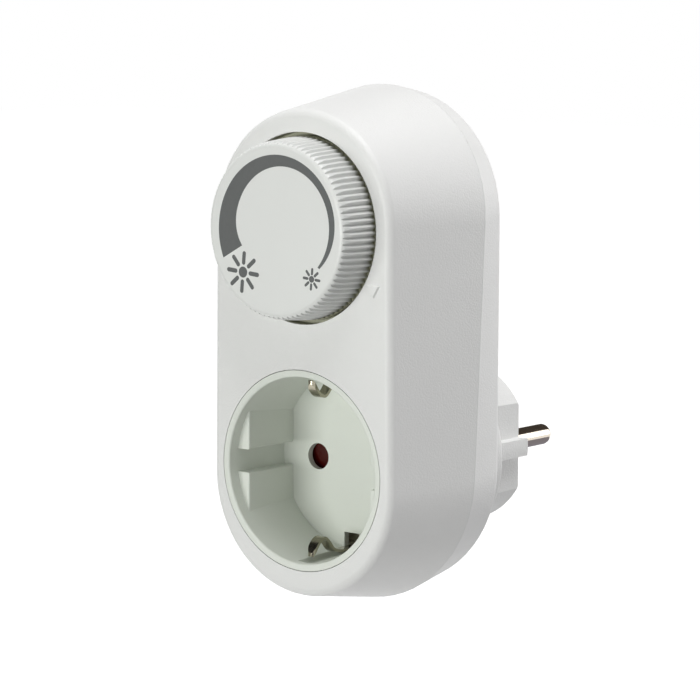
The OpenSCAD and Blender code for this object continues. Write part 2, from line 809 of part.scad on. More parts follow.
module plug_pins() color("silver") placed() both_sides() lathe(concat(
    [[0, foot_back], [pin_head_r, foot_back], [pin_head_r, nose_inner], [pin_r + pin_root, nose_inner],
     [pin_r + pin_root, plug_face], [pin_r, plug_face]],
    [for (i = [fillet_steps:-1:0]) let (f = rounding(pin_tip)[i]) [pin_r - f[0], plug_face + pin_l - f[1]]],
    [[0, plug_face + pin_l]]
), pin_x);

// Rounding of the pins' tips
pin_tip = 1.9;

module potentiometer_body() color("dimgray") placed() translate([0, 0, knob_z]) difference() {
    union() {
        rod(pot_r, pot_front, board_front);
        rod(bush_r, bush_end, pot_front + join);
        block([-plate_half, board_front - plate_lift - plate_t, -pot_r - plate_reach],
              [plate_half, board_front - plate_lift, 0]);
        for (x = pot_legs)
            rod(leg_r, board_front - plate_lift - join, board_back + leg_out, x, -pot_leg_drop);
    }
    rod(shaft_r + shaft_gap, bush_end - cut, shaft_end + shaft_play);
}

// Bush, terminal plate, legs and shaft of the potentiometer
bush_end = 0.5;
nut_t = 2;
nut_share = 1.5;
plate_half = 6.5;
plate_t = 1.6;
plate_lift = 0.6;
plate_reach = 3.5;
shaft_seat = 4.5;
shaft_end = pot_front + shaft_seat;
shaft_play = 0.2;
pot_legs = [-5, 0, 5];
pot_leg_drop = pot_r + 2.4;
leg_r = 0.4;
leg_out = 1;
leg_hole_r = 0.55;

module potentiometer_shaft() color("silver") placed() translate([0, 0, knob_z]) difference() {
    rod(shaft_r, shaft_front, shaft_end);
    block([-shaft_r - cut, shaft_front - cut, shaft_flat],
          [shaft_r + cut, hub_end + shaft_play, shaft_r + cut]);
}

module potentiometer_nut() color("silver") placed() translate([0, 0, knob_z]) difference() {
    slab(well_depth - nut_t, well_depth) circle(r = bush_r * nut_share, $fn = 6);
    rod(bush_r + seat_gap, 0, well_depth + cut);
}

// Choke
choke_rise = 8.9;
choke_spot = [0, knob_z + choke_rise];
choke_leg = 4;
choke_legs = [-choke_leg, choke_leg];
choke_r = 6.3;
choke_h = 11;
choke_flange = 1.6;
choke_neck = 2.6;
winding_step = 0.6;

// Suppression capacitor and timing capacitor: lower left corner, then width, height and length
cap_x = 10;
cap_drop = 15.5;
cap_low = [cap_x, knob_z - cap_drop];
cap_w = 7.5;
cap_h = 12.5;
cap_l = 18;
cap_size = [cap_w, cap_h, cap_l];
cap_leg_inset = 2;
film_x = 2.2;
film_drop = 8;
film_low = [film_x, knob_z - film_drop];
film_w = 3.6;
film_h = 7;
film_l = 7;
film_size = [film_w, film_h, film_l];
film_leg_inset = 1;

// Resistors and diac: the heights of their rows, then the places of their leads
low_row_drop = 7.2;
high_row_drop = 3.4;
resistor_rows = [knob_z - low_row_drop, knob_z - high_row_drop];
resistor_near = 1;
resistor_far = 11;
resistor_x = [-resistor_far, -resistor_near];
resistor_r = 1.25;
resistor_l = 6.4;
diac_rise = 0.4;
diac_row = knob_z + diac_rise;
diac_near = 2;
diac_far = 10;
diac_x = [-diac_far, -diac_near];
diac_r = 0.95;
diac_l = 4;
axial_gap = 0.15;

// Fuse in its clips
fuse_drop = 15.3;
fuse_z = knob_z - fuse_drop;
fuse_mid = -1.5;
fuse_l = 20;
fuse_x = [fuse_mid - fuse_l / 2, fuse_mid + fuse_l / 2];
fuse_r = 2.6;
fuse_cap = 5;
fuse_cap_t = 0.25;
fuse_lift = 4.4;
fuse_y = board_back + fuse_lift;
clip_sheet = 0.5;
clip_foot = 3;
clip_mouth = fuse_r / 2;

// Wires on the board
wire_z = waist_z;
line_wire_x = -8;
load_wire_x = -12;

// Places in X and Z where legs pass through the board
leg_spots = concat(
    [for (x = pot_legs) [x, knob_z - pot_leg_drop]],
    [for (s = triac_legs) [triac_leg_x, triac_z + s]],
    [for (s = choke_legs) [choke_spot[0], choke_spot[1] + s]],
    [for (s = [cap_leg_inset, cap_l - cap_leg_inset]) [cap_x + cap_w / 2, cap_low[1] + s]],
    [for (s = [film_leg_inset, film_l - film_leg_inset]) [film_x + film_w / 2, film_low[1] + s]],
    [for (z = resistor_rows) for (x = resistor_x) [x, z]],
    [for (x = diac_x) [x, diac_row]]
);
module circuit_board() color("darkgreen") placed() slab(board_front, board_back) difference() {
    union() {
        translate([0, top_z]) circle(r = board_half);
        translate([-board_half, board_low]) square([2 * board_half, top_z - board_low]);
    }
    for (s = screw_spots) translate(s) circle(r = boss_r + board_gap);
    for (s = post_spots) translate(s) circle(r = board_screw_r + 2 * seat_gap);
    for (s = leg_spots) translate(s) circle(r = leg_hole_r);
}

// Lower edge of the board and its distance from the case screws' bosses
board_rise = 4.4;
board_low = barrel_r + board_rise;
board_gap = 0.5;

module board_screws() color("silver") placed()
    for (s = post_spots)
        screw(board_screw_r, board_screw_l, board_head_r, board_head_t, board_back, s[0], s[1]);

module triac() color("#303030") placed() difference() {
    union() {
        block([triac_seat, triac_front, triac_z - triac_half],
              [triac_seat + triac_t, triac_front + triac_l, triac_z + triac_half]);
        block([triac_seat, triac_front + triac_l - join, triac_z - triac_half],
              [triac_seat + tab_t, triac_front + tab_l, triac_z + triac_half]);
        for (s = triac_legs) rod(leg_r, board_front, triac_front + join, triac_leg_x, triac_z + s);
    }
    cross_rod(triac_screw_r + 2 * seat_gap, triac_seat - cut, triac_seat + tab_t + cut, triac_hole, triac_z);
}

module heat_sink() color("lightgray") placed() difference() {
    block([sink_x, board_back, triac_z - sink_below],
          [sink_x + sink_t, board_back + sink_h, triac_z + sink_above]);
    cross_rod(triac_screw_r + 2 * seat_gap, sink_x - cut, sink_x + sink_t + cut, triac_hole, triac_z);
}

module triac_screw() color("silver") placed() {
    screw_end = sink_x - triac_nut_t - triac_screw_out;
    cross_rod(triac_screw_r, screw_end, triac_seat + tab_t + join, triac_hole, triac_z);
    cross_rod(triac_head_r, triac_seat + tab_t, triac_seat + tab_t + triac_head_t, triac_hole, triac_z);
}

module triac_nut() color("silver") placed() difference() {
    translate([sink_x - triac_nut_t, triac_hole, triac_z]) rotate([0, 90, 0])
        cylinder(r = triac_nut_r, h = triac_nut_t, $fn = 6);
    cross_rod(triac_screw_r + seat_gap, sink_x - triac_nut_t - cut, sink_x + cut, triac_hole, triac_z);
}

// Drum of the choke, between whose flanges the winding lies
choke_low = board_back + choke_flange;
choke_high = board_back + choke_h - choke_flange;
module choke_core() color("#404048") placed() {
    lathe([
        [0, board_back], [choke_r, board_back], [choke_r, choke_low], [choke_neck, choke_low],
        [choke_neck, choke_high], [choke_r, choke_high],
        [choke_r, board_back + choke_h], [0, board_back + choke_h]
    ], choke_spot[0], choke_spot[1]);
    for (s = choke_legs) rod(leg_r, board_front, board_back + join, choke_spot[0], choke_spot[1] + s);
}

module choke_winding() color("peru") placed() lathe([
    [choke_neck, choke_low], [choke_r - winding_step, choke_low],
    [choke_r - winding_step, choke_high], [choke_neck, choke_high]
], choke_spot[0], choke_spot[1]);

// Box-shaped capacitor on the board with two legs through it
module box_capacitor(low, size, inset) {
    block([low[0], board_back, low[1]], [low[0] + size[0], board_back + size[1], low[1] + size[2]]);
    for (s = [inset, size[2] - inset])
        rod(leg_r, board_front, board_back + join, low[0] + size[0] / 2, low[1] + s);
}

module suppression_capacitor() color("gold") placed() box_capacitor(cap_low, cap_size, cap_leg_inset);

module timing_capacitor() color("firebrick") placed() box_capacitor(film_low, film_size, film_leg_inset);

// Axial piece lying on the board, with its leads bent down through it
module axial(x, z, r, l) {
    y = board_back + r + axial_gap;
    mid = (x[0] + x[1]) / 2;
    cross_rod(r, mid - l / 2, mid + l / 2, y, z);
    cross_rod(leg_r, x[0] - leg_r, x[1] + leg_r, y, z);
    for (end = x) rod(leg_r, board_front, y, end, z);
}

module resistors() color("tan") placed() for (z = resistor_rows) axial(resistor_x, z, resistor_r, resistor_l);

module diac() color("orangered") placed() axial(diac_x, diac_row, diac_r, diac_l);

module fuse() color("lightcyan") placed() {
    cross_rod(fuse_r - fuse_cap_t, fuse_x[0] + join, fuse_x[1] - join, fuse_y, fuse_z);
    for (end = [fuse_x[0], fuse_x[1] - fuse_cap]) cross_rod(fuse_r, end, end + fuse_cap, fuse_y, fuse_z);
}

// Spring clips that hold the fuse by its caps, open to the rear
clip_w = fuse_cap - 1;
module fuse_clips() color("goldenrod") placed() for (x = [fuse_x[0] + fuse_cap / 2, fuse_x[1] - fuse_cap / 2])
    side_slab(clip_w, x) difference() {
        union() {
            translate([fuse_y, fuse_z]) circle(r = fuse_r + seat_gap + clip_sheet);
            translate([board_back, fuse_z - clip_foot / 2]) square([fuse_lift, clip_foot]);
        }
        translate([fuse_y, fuse_z]) circle(r = fuse_r + seat_gap);
        translate([fuse_y + clip_mouth, fuse_z - 2 * fuse_r]) square(4 * fuse_r);
    }

// Insulated wire that leaves and meets its ends squarely
wire_steps = 4;
wire_lead = 1.5;
module wire(start, route, end) tube(concat([start], curve(route, wire_steps), [end]), wire_r, [1, 0, 0]);

// From the flange of the left pin, up behind the board and onto it
module line_wire() color("saddlebrown") placed() wire(
    [-pin_x, pin_wire_y, pin_head_r],
    [
        [-pin_x, pin_wire_y, pin_head_r + wire_lead], [line_wire_x - 0.8, rear_inner + 2, pin_head_r + 6],
        [line_wire_x, rear_inner - 3.5, pin_head_r + 10], [line_wire_x, carrier_back + 3, barrel_r],
        [line_wire_x, carrier_back - 2, wire_z - 3], [line_wire_x, board_back + wire_lead, wire_z]
    ],
    [line_wire_x, board_back, wire_z]
);

// From the tag of the load contact, up behind the board and onto it
module load_wire() color("dimgray") placed() wire(
    [tag_x, tag_y, tag_top],
    [
        [tag_x, tag_y, tag_top + wire_lead], [load_wire_x - 0.5, carrier_back + 4, barrel_r - 1],
        [load_wire_x, carrier_back - 1, wire_z - 3], [load_wire_x, board_back + wire_lead, wire_z]
    ],
    [load_wire_x, board_back, wire_z]
);

// Ends of the wires at the pin and at the load contact
pin_wire_y = nose_inner - wire_r - seat_gap;
tag_x = -contact_side - contact_t / 2;
tag_y = contact_end - tag_l / 2;

module case_screws() color("silver") placed()
    for (s = screw_spots) screw(screw_r, screw_l, head_r, head_t, rear_seat(), s[0], s[1]);

front_cover();
rear_cover();
knob();
socket_insert();
socket_earth_strap();
shutter();
plug_pins();
contact_carrier();
contact_load();
contact_neutral();
plug_earth_strap();
earth_post();
shutter_spring();
potentiometer_body();
potentiometer_shaft();
potentiometer_nut();
circuit_board();
board_screws();
triac();
heat_sink();
triac_screw();
triac_nut();
choke_core();
choke_winding();
suppression_capacitor();
timing_capacitor();
resistors();
diac();
fuse();
fuse_clips();
line_wire();
load_wire();
case_screws();
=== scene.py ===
"""Looks of a plug-in lamp dimmer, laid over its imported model."""

import json
import math

import bmesh
import bpy
import numpy as np
from bpy.props import FloatProperty, FloatVectorProperty, IntProperty, PointerProperty
from mathutils import Matrix, Vector


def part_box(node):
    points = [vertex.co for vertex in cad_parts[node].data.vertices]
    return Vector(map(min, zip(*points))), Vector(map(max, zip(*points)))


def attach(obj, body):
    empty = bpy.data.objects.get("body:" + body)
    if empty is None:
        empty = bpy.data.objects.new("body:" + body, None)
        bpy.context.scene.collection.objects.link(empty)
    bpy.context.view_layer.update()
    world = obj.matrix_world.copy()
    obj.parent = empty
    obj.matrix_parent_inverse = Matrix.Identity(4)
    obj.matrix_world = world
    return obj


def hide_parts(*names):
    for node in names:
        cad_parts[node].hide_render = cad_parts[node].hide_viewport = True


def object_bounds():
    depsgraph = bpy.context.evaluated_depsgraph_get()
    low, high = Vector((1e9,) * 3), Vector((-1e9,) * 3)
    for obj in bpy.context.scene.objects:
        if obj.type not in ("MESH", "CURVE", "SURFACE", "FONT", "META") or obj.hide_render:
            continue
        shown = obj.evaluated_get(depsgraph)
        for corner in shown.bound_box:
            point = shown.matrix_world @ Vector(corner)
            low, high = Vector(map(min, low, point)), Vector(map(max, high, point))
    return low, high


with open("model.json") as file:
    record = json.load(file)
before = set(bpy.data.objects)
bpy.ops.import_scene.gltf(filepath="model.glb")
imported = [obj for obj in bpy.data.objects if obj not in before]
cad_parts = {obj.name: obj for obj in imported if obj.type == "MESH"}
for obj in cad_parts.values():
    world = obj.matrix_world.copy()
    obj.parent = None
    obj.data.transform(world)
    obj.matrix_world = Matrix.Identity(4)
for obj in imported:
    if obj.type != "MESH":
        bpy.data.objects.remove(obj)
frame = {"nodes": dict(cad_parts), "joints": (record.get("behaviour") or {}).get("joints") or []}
CAD_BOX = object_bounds()

bl_info = {
    "name": "Plug-in Dimmer",
    "version": (1, 0, 0),
    "blender": (4, 5, 0),
    "location": "View3D > Sidebar > Dimmer",
    "description": "Mouldings, printed scale, plated metal and studio of a plug-in lamp dimmer",
    "category": "Object",
}

MM = 0.001
NODES = frame["nodes"]
KNOB_LOW, KNOB_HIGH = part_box("knob")
KNOB_JOINT = next(j for j in frame["joints"] if j["name"] == "knob_turn")
KNOB_CENTRE = Vector((KNOB_JOINT["pos_m"][0], KNOB_LOW.y, KNOB_JOINT["pos_m"][2]))
KNOB_R = (KNOB_HIGH.x - KNOB_LOW.x) / 2

# What counts as one when shading is smoothed
DIRECTION_STEPS = 500
PLANE_STEP = 0.02 * MM
SPOT_STEP = 0.002 * MM
# Keeps a division by a length of nothing defined
TINY = 1e-30

# Settings of a Mix node for colours, whose inputs are then 6 and 7, and the place of its result
MIX_COLOUR = {"data_type": "RGBA"}
MIXED = 2


def linear(hex_colour):
    """Linear colour of an sRGB hex value."""
    channels = [int(hex_colour[i : i + 2], 16) / 255 for i in (1, 3, 5)]
    return tuple(c / 12.92 if c <= 0.04045 else ((c + 0.055) / 1.055) ** 2.4 for c in channels)


def colour(name, hex_colour, description):
    """Colour property with an sRGB hex value as its default."""
    return FloatVectorProperty(
        name=name,
        description=description,
        subtype="COLOR",
        size=3,
        min=0,
        max=1,
        default=linear(hex_colour),
    )


def length(name, millimetres, description):
    """Length property with its default in millimetres."""
    return FloatProperty(
        name=name, description=description, unit="LENGTH", min=0, default=millimetres * MM
    )


def face_spot(name, right, up, description):
    """Property of a spot on the knob's face, with its default in millimetres."""
    return FloatVectorProperty(
        name=name, description=description, size=2, unit="LENGTH", default=(right * MM, up * MM)
    )


def angle(name, degrees, description):
    """Angle property with its default in degrees."""
    return FloatProperty(
        name=name, description=description, subtype="ANGLE", default=math.radians(degrees)
    )


class DimmerPrint(bpy.types.PropertyGroup):
    """Sizes of the scale printed on the knob's face."""

    ink: length("Ink", 0.01, "Thickness of the printed ink")
    shift: face_spot("Print Shift", 0.53, -0.15, "Centre of the print, from the knob's axis")
    arc_r: length("Arc Radius", 16.02, "Outer radius of the tapered arc")
    arc_inner_r: length("Inner Radius", 12.72, "Radius of the inner edge about its own centre")
    arc_shift: face_spot("Inner Centre", 1.4, 0.93, "Inner edge's centre, from the print's centre")
    arc_from: angle("Thin End", -31.6, "Direction of the thin end, from the viewer's right")
    arc_to: angle("Thick End", 202.9, "Direction of the thick end")
    arc_slant: angle("Thick End Slant", 3.5, "How much earlier the inner edge stops there")
    arc_draw: length("Thin End Draw", 2.55, "How far the outer edge draws in to the thin end")
    arc_swell: length("Thick End Swell", 1.0, "How far the inner edge draws in to the thick end")
    rays: IntProperty(name="Rays", description="Rays of each sun", min=4, default=8)
    big_sun: face_spot("Big Sun", -9.29, -8.97, "Centre of the big sun, from the print's centre")
    big_r: length("Big Sun Radius", 4.46, "Distance of the big sun's ray tips from its centre")
    big_dot: length("Big Dot Radius", 1.17, "Radius of the big sun's dot")
    big_ray: length("Big Ray Width", 0.93, "Width of the big sun's rays")
    small_sun: face_spot("Small Sun", 9.42, -9.29, "Small sun's centre, from the print's centre")
    small_r: length("Small Sun Radius", 2.36, "Distance of its ray tips from its centre")
    small_dot: length("Small Dot Radius", 0.7, "Radius of the small sun's dot")
    small_ray: length("Small Ray Width", 0.58, "Width of the small sun's rays")
    sun_turn: angle("Sun Turn", 5.1, "How far the suns are turned clockwise")


class DimmerKnurl(bpy.types.PropertyGroup):
    """Ribs round the knob's side, as the model has them, and the well that the knob sits in, where
    shade is painted.
    """

    ribs: IntProperty(name="Ribs", description="Ribs round the knob", min=12, default=88)
    depth: length("Groove Depth", 0.75, "Depth of the grooves at the knob's rear end")
    narrow: FloatProperty(
        name="Narrowing", description="Power that narrows the grooves, 1 for none", default=1.2
    )
    rise: length("Rise", 8.3, "Height of the knob's face over the front of the case")
    # Where shade is painted in the well round the knob: its reach from the knob, its depth, and
    # where it starts and is full
    gap: length("Well Gap", 1.5, "How far from the knob's side the dust in its well can lie")
    well: length("Well Depth", 3.1, "How far behind the front of the case that dust can lie")
    painted_shade_from: length("Dust Start", 0.2, "Depth in the well at which dust begins")
    painted_shade_full: length("Dust Full", 1.4, "Depth in the well from which dust covers all")


class DimmerScrew(bpy.types.PropertyGroup):
    """Sizes of the case screws."""

    head_r: length("Head Radius", 2.8, "Radius of the head")
    head_t: length("Head Height", 2.2, "Height of the domed head")
    core_r: length("Core Radius", 1.0, "Radius at the bottom of the thread")
    thread_r: length("Thread Radius", 1.45, "Radius over the thread")
    pitch: length("Pitch", 1.3, "Pitch of the thread")
    slot_l: length("Drive Length", 3.4, "Length of each slot of the cross drive")
    slot_w: length("Drive Width", 0.75, "Width of each slot of the cross drive")
    slot_d: length("Drive Depth", 1.3, "Depth of the cross drive")


class DimmerColours(bpy.types.PropertyGroup):
    """Colours of the pieces."""

    cover: colour("Covers", "#E1E1E0", "Polycarbonate of the two covers")
    knob: colour("Knob", "#DDDEDC", "Plastic of the knob")
    insert: colour("Socket", "#DCE0D8", "Polycarbonate of the socket insert")
    ink: colour("Ink", "#565858", "Ink of the printed scale")
    nickel: colour("Bright Nickel", "#C9C0B3", "Nickel plate of the pins")
    dull_nickel: colour("Dull Nickel", "#A8A391", "Nickel plate of the earth strips")
    # Colour of the shade painted in the well round the knob
    painted_shade: colour("Painted Shade", "#9E9E86", "Dust in the well round the knob")
    shutter: colour("Shutter", "#460906", "Plastic of the shutter")
    steel: colour("Steel", "#B9BBBC", "Zinc plate of screws and nuts")
    brass: colour("Brass", "#C79A4B", "Brass sheet of the contacts")


class DimmerStage(bpy.types.PropertyGroup):
    """Camera, floor and room of the studio."""

    eye: FloatVectorProperty(
        name="Camera",
        description="Place of the camera",
        size=3,
        subtype="XYZ",
        unit="LENGTH",
        default=(383.25 * MM, -516.54 * MM, 100.51 * MM),
    )
    aim: FloatVectorProperty(
        name="Aim",
        description="Rotation of the camera",
        size=3,
        subtype="EULER",
        default=tuple(math.radians(a) for a in (82.885, -0.177, 38.904)),
    )
    lens: FloatProperty(
        name="Lens", description="Focal length on a 36 mm sensor, in millimetres", default=146.65
    )
    drop: length("Floor Drop", 60, "How far the floor lies under the dimmer")
    floor: colour("Floor", "#C6C6C6", "Paint of the floor, before its own glow")
    glow: FloatProperty(
        name="Floor Glow", description="Light that the floor adds for the camera", default=0.92
    )
    room: FloatProperty(
        name="Room Light", description="Strength of the even light from all sides", default=0.15
    )


# Shading


def read(items, name, width=1, kind=float):
    """Array of one value, or of one row of values, for each item of a mesh."""
    values = np.empty(len(items) * width, kind)
    items.foreach_get(name, values)
    return values.reshape(-1, width) if width > 1 else values


def joint_areas(mesh, normal):
    """Area for each face; faces in one plane count as one face with their joint area."""
    offset = (normal * read(mesh.polygons, "center", 3)).sum(1)
    planes = np.column_stack([np.round(normal * DIRECTION_STEPS), np.round(offset / PLANE_STEP)])
    _, plane = np.unique(planes, axis=0, return_inverse=True)
    plane = plane.ravel()
    return np.bincount(plane, weights=read(mesh.polygons, "area"))[plane]


def corner_angles(corner, first, count):
    """Angle of the face at each corner, from the first corner and the corner count of its face."""
    turn = np.arange(len(corner)) - first
    ahead = corner[first + (turn + 1) % count] - corner
    back = corner[first + (turn - 1) % count] - corner
    lengths = np.linalg.norm(ahead, axis=1) * np.linalg.norm(back, axis=1) + TINY
    return np.arccos(np.clip((ahead * back).sum(1) / lengths, -1, 1))


def soften(obj, crease_degrees=30, knurl=None):
    """Smooth the shading across edges flatter than the crease; big flat faces stay flat."""
    mesh = obj.data
    corner = read(mesh.vertices, "co", 3)[read(mesh.loops, "vertex_index", kind=int)]
    normal = read(mesh.polygons, "normal", 3)
    sides = read(mesh.polygons, "loop_total", kind=int)
    starts = read(mesh.polygons, "loop_start", kind=int)
    face_of = np.repeat(np.arange(len(sides)), sides)
    corner_angle = corner_angles(corner, starts[face_of], sides[face_of])
    weight = corner_angle * joint_areas(mesh, normal)[face_of]

    # Corners at one place share what lies within the crease
    places = np.round(corner / SPOT_STEP).astype(int)
    _, spot = np.unique(places, axis=0, return_inverse=True)
    order = np.argsort(spot.ravel(), kind="stable")
    spot = spot.ravel()[order]
    own = normal[face_of[order]]
    weighted = own * weight[order][:, None]
    total = weighted.copy()
    crease = math.cos(math.radians(crease_degrees))
    step = 1
    while True:
        pair = np.nonzero(spot[step:] == spot[:-step])[0]
        if len(pair) == 0:
            break
        near = pair[(own[pair] * own[pair + step]).sum(1) > crease]
        np.add.at(total, near, weighted[near + step])
        np.add.at(total, near + step, weighted[near])
        step += 1
    shaded = np.empty((len(corner), 3))
    shaded[order] = total / (np.linalg.norm(total, axis=1)[:, None] + TINY)
    if knurl:
        shaded = rib_directions(corner, normal[face_of], shaded, knurl)
    mesh.shade_smooth()
    mesh.normals_split_custom_set(shaded.tolist())


def rib_directions(place, own, shaded, p):
    """Directions of the round ribs on the knob's side, which the model draws as flat strips."""
    x, z = place[:, 0] - KNOB_CENTRE.x, place[:, 2] - KNOB_CENTRE.z
    radius, around = np.hypot(x, z), np.arctan2(z, x)
    wave = p.ribs * around
    sink = (1 - np.cos(wave)) / 2
    slope = p.depth * p.narrow * sink ** (p.narrow - 1) * p.ribs * np.sin(wave) / 2
    way = around + np.arctan2(slope, KNOB_R - p.depth * sink**p.narrow)
    # The strips lie in the outer tenth of the knob and lean to its face by the mould's draft
    inner_share, least_lean, most_lean = 0.9, 0.02, 0.14
    lean = own[:, 1]
    strip = (radius > inner_share * KNOB_R) & (lean < -least_lean) & (lean > -most_lean)
    level = np.sqrt(1 - lean**2)
    ribs = np.column_stack([level * np.cos(way), lean, level * np.sin(way)])
    return np.where(strip[:, None], ribs, shaded)


# Materials


def add_node(tree, kind, settings=(), **inputs):
    """Add a node, set its properties, and set or link its inputs; in_0, in_1 name them by place."""
    node = tree.nodes.new(kind)
    for name, value in dict(settings).items():
        setattr(node, name, value)
    for name, value in inputs.items():
        key = int(name[3:]) if name.startswith("in_") else name.replace("_", " ")
        socket = node.inputs[key]
        if isinstance(value, bpy.types.NodeSocket):
            tree.links.new(value, socket)
        else:
            socket.default_value = value
    return node


def rgba(rgb, share=1.0):
    """Colour with alpha, scaled by a share."""
    return tuple(c * share for c in rgb) + (1.0,)


def empty_material(name):
    """Node material that has no nodes yet, and its tree."""
    material = bpy.data.materials.new(name)
    material.use_nodes = True
    material.node_tree.nodes.clear()
    return material, material.node_tree


def new_material(name):
    """Node material with its tree, its shader and the object's own coordinates."""
    material, tree = empty_material(name)
    shader = add_node(tree, "ShaderNodeBsdfPrincipled")
    add_node(tree, "ShaderNodeOutputMaterial", Surface=shader.outputs["BSDF"])
    place = add_node(tree, "ShaderNodeTexCoord").outputs["Object"]
    return material, tree, shader, place


def painted_well_shade(tree, place, tone):
    """Tone with painted shade in the well round the knob, stronger further in."""
    p, painted_shade = bpy.context.scene.dimmer_knurl, bpy.context.scene.dimmer_colours.painted_shade
    front = KNOB_CENTRE.y + p.rise
    along = add_node(tree, "ShaderNodeSeparateXYZ", Vector=place).outputs["Y"]
    deeper_shade = add_node(
        tree,
        "ShaderNodeMapRange",
        Value=along,
        From_Min=front + p.painted_shade_from,
        From_Max=front + p.painted_shade_full,
    )
    above = add_node(
        tree, "ShaderNodeMath", {"operation": "LESS_THAN"}, in_0=along, in_1=front + p.well
    )
    level = add_node(
        tree, "ShaderNodeVectorMath", {"operation": "MULTIPLY"}, in_0=place, in_1=(1, 0, 1)
    )
    away = add_node(
        tree,
        "ShaderNodeVectorMath",
        {"operation": "DISTANCE"},
        in_0=level.outputs[0],
        in_1=(KNOB_CENTRE.x, 0, KNOB_CENTRE.z),
    )
    near = add_node(
        tree,
        "ShaderNodeMath",
        {"operation": "LESS_THAN"},
        in_0=away.outputs["Value"],
        in_1=KNOB_R + p.gap,
    )
    inside = add_node(
        tree,
        "ShaderNodeMath",
        {"operation": "MULTIPLY"},
        in_0=above.outputs[0],
        in_1=near.outputs[0],
    )
    share = add_node(
        tree,
        "ShaderNodeMath",
        {"operation": "MULTIPLY"},
        in_0=deeper_shade.outputs["Result"],
        in_1=inside.outputs[0],
    )
    return add_node(
        tree,
        "ShaderNodeMix",
        MIX_COLOUR,
        Factor=share.outputs[0],
        in_6=tone.outputs[MIXED],
        in_7=rgba(painted_shade),
    )


def moulded(name, rgb, ior, roughness, grain, depth, mottle=0.015, painted_shade=False):
    """Moulded plastic: an even colour with faint flow clouds, and the grain of the tool."""
    cloud, sway = 14 * MM, 0.06
    material, tree, shader, place = new_material(name)
    clouds = add_node(tree, "ShaderNodeTexNoise", Vector=place, Scale=1 / cloud, Detail=3.0)
    tone = add_node(
        tree,
        "ShaderNodeMix",
        MIX_COLOUR,
        Factor=clouds.outputs["Fac"],
        in_6=rgba(rgb, 1 - mottle),
        in_7=rgba([min(1, c * (1 + mottle)) for c in rgb]),
    )
    # Shade painted into the well round the knob, darker further in
    if painted_shade:
        tone = painted_well_shade(tree, place, tone)
    pits = add_node(
        tree, "ShaderNodeTexNoise", Vector=place, Scale=1 / grain, Detail=2.0, Roughness=0.55
    )
    gloss = add_node(
        tree,
        "ShaderNodeMapRange",
        Value=pits.outputs["Fac"],
        From_Min=0.3,
        From_Max=0.7,
        To_Min=roughness - sway,
        To_Max=roughness + sway,
    )
    bump = add_node(
        tree, "ShaderNodeBump", Strength=1.0, Distance=depth, Height=pits.outputs["Fac"]
    )
    shader.inputs["IOR"].default_value = ior
    tree.links.new(tone.outputs[MIXED], shader.inputs["Base Color"])
    tree.links.new(gloss.outputs["Result"], shader.inputs["Roughness"])
    tree.links.new(bump.outputs["Normal"], shader.inputs["Normal"])
    return material


def worked_metal(name, rgb, roughness, lines, depth, direction, tarnish=0.06):
    """Metal with fine tool lines across one direction and a faint cloudy tarnish."""
    line_run, cloud, sway = 40, 4 * MM, 0.3
    material, tree, shader, place = new_material(name)
    stretch = [1 / lines if d else 1 / (line_run * lines) for d in direction]
    spread = add_node(tree, "ShaderNodeMapping", Vector=place, Scale=stretch).outputs["Vector"]
    marks = add_node(tree, "ShaderNodeTexNoise", Vector=spread, Scale=1.0, Detail=2.0)
    clouds = add_node(tree, "ShaderNodeTexNoise", Vector=place, Scale=1 / cloud, Detail=4.0)
    tone = add_node(
        tree,
        "ShaderNodeMix",
        MIX_COLOUR,
        Factor=clouds.outputs["Fac"],
        in_6=rgba(rgb, 1 - tarnish),
        in_7=rgba(rgb),
    )
    gloss = add_node(
        tree,
        "ShaderNodeMapRange",
        Value=marks.outputs["Fac"],
        To_Min=roughness * (1 - sway),
        To_Max=roughness * (1 + sway),
    )
    bump = add_node(
        tree, "ShaderNodeBump", Strength=1.0, Distance=depth, Height=marks.outputs["Fac"]
    )
    shader.inputs["Metallic"].default_value = 1.0
    tree.links.new(tone.outputs[MIXED], shader.inputs["Base Color"])
    tree.links.new(gloss.outputs["Result"], shader.inputs["Roughness"])
    tree.links.new(bump.outputs["Normal"], shader.inputs["Normal"])
    return material


def banded(name, node, rgb, bands, roughness, ior):
    """Lacquered body with rings: bands are (from, to, colour) in shares of the node's width."""
    haze_width, sway = 0.8 * MM, 0.05
    low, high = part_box(node)
    material, tree, shader, place = new_material(name)
    split = add_node(tree, "ShaderNodeSeparateXYZ", Vector=place)
    share = add_node(
        tree, "ShaderNodeMapRange", Value=split.outputs["X"], From_Min=low.x, From_Max=high.x
    )
    ramp = add_node(tree, "ShaderNodeValToRGB", Fac=share.outputs["Result"])
    stops = ramp.color_ramp.elements
    ramp.color_ramp.interpolation = "CONSTANT"
    stops[0].color = rgba(rgb)
    stops.remove(stops[1])
    for start, end, shade in bands:
        stops.new(start).color = rgba(linear(shade))
        stops.new(end).color = rgba(rgb)
    haze = add_node(tree, "ShaderNodeTexNoise", Vector=place, Scale=1 / haze_width, Detail=2.0)
    gloss = add_node(
        tree,
        "ShaderNodeMapRange",
        Value=haze.outputs["Fac"],
        To_Min=roughness - sway,
        To_Max=roughness + sway,
    )
    shader.inputs["IOR"].default_value = ior
    tree.links.new(ramp.outputs["Color"], shader.inputs["Base Color"])
    tree.links.new(gloss.outputs["Result"], shader.inputs["Roughness"])
    return material


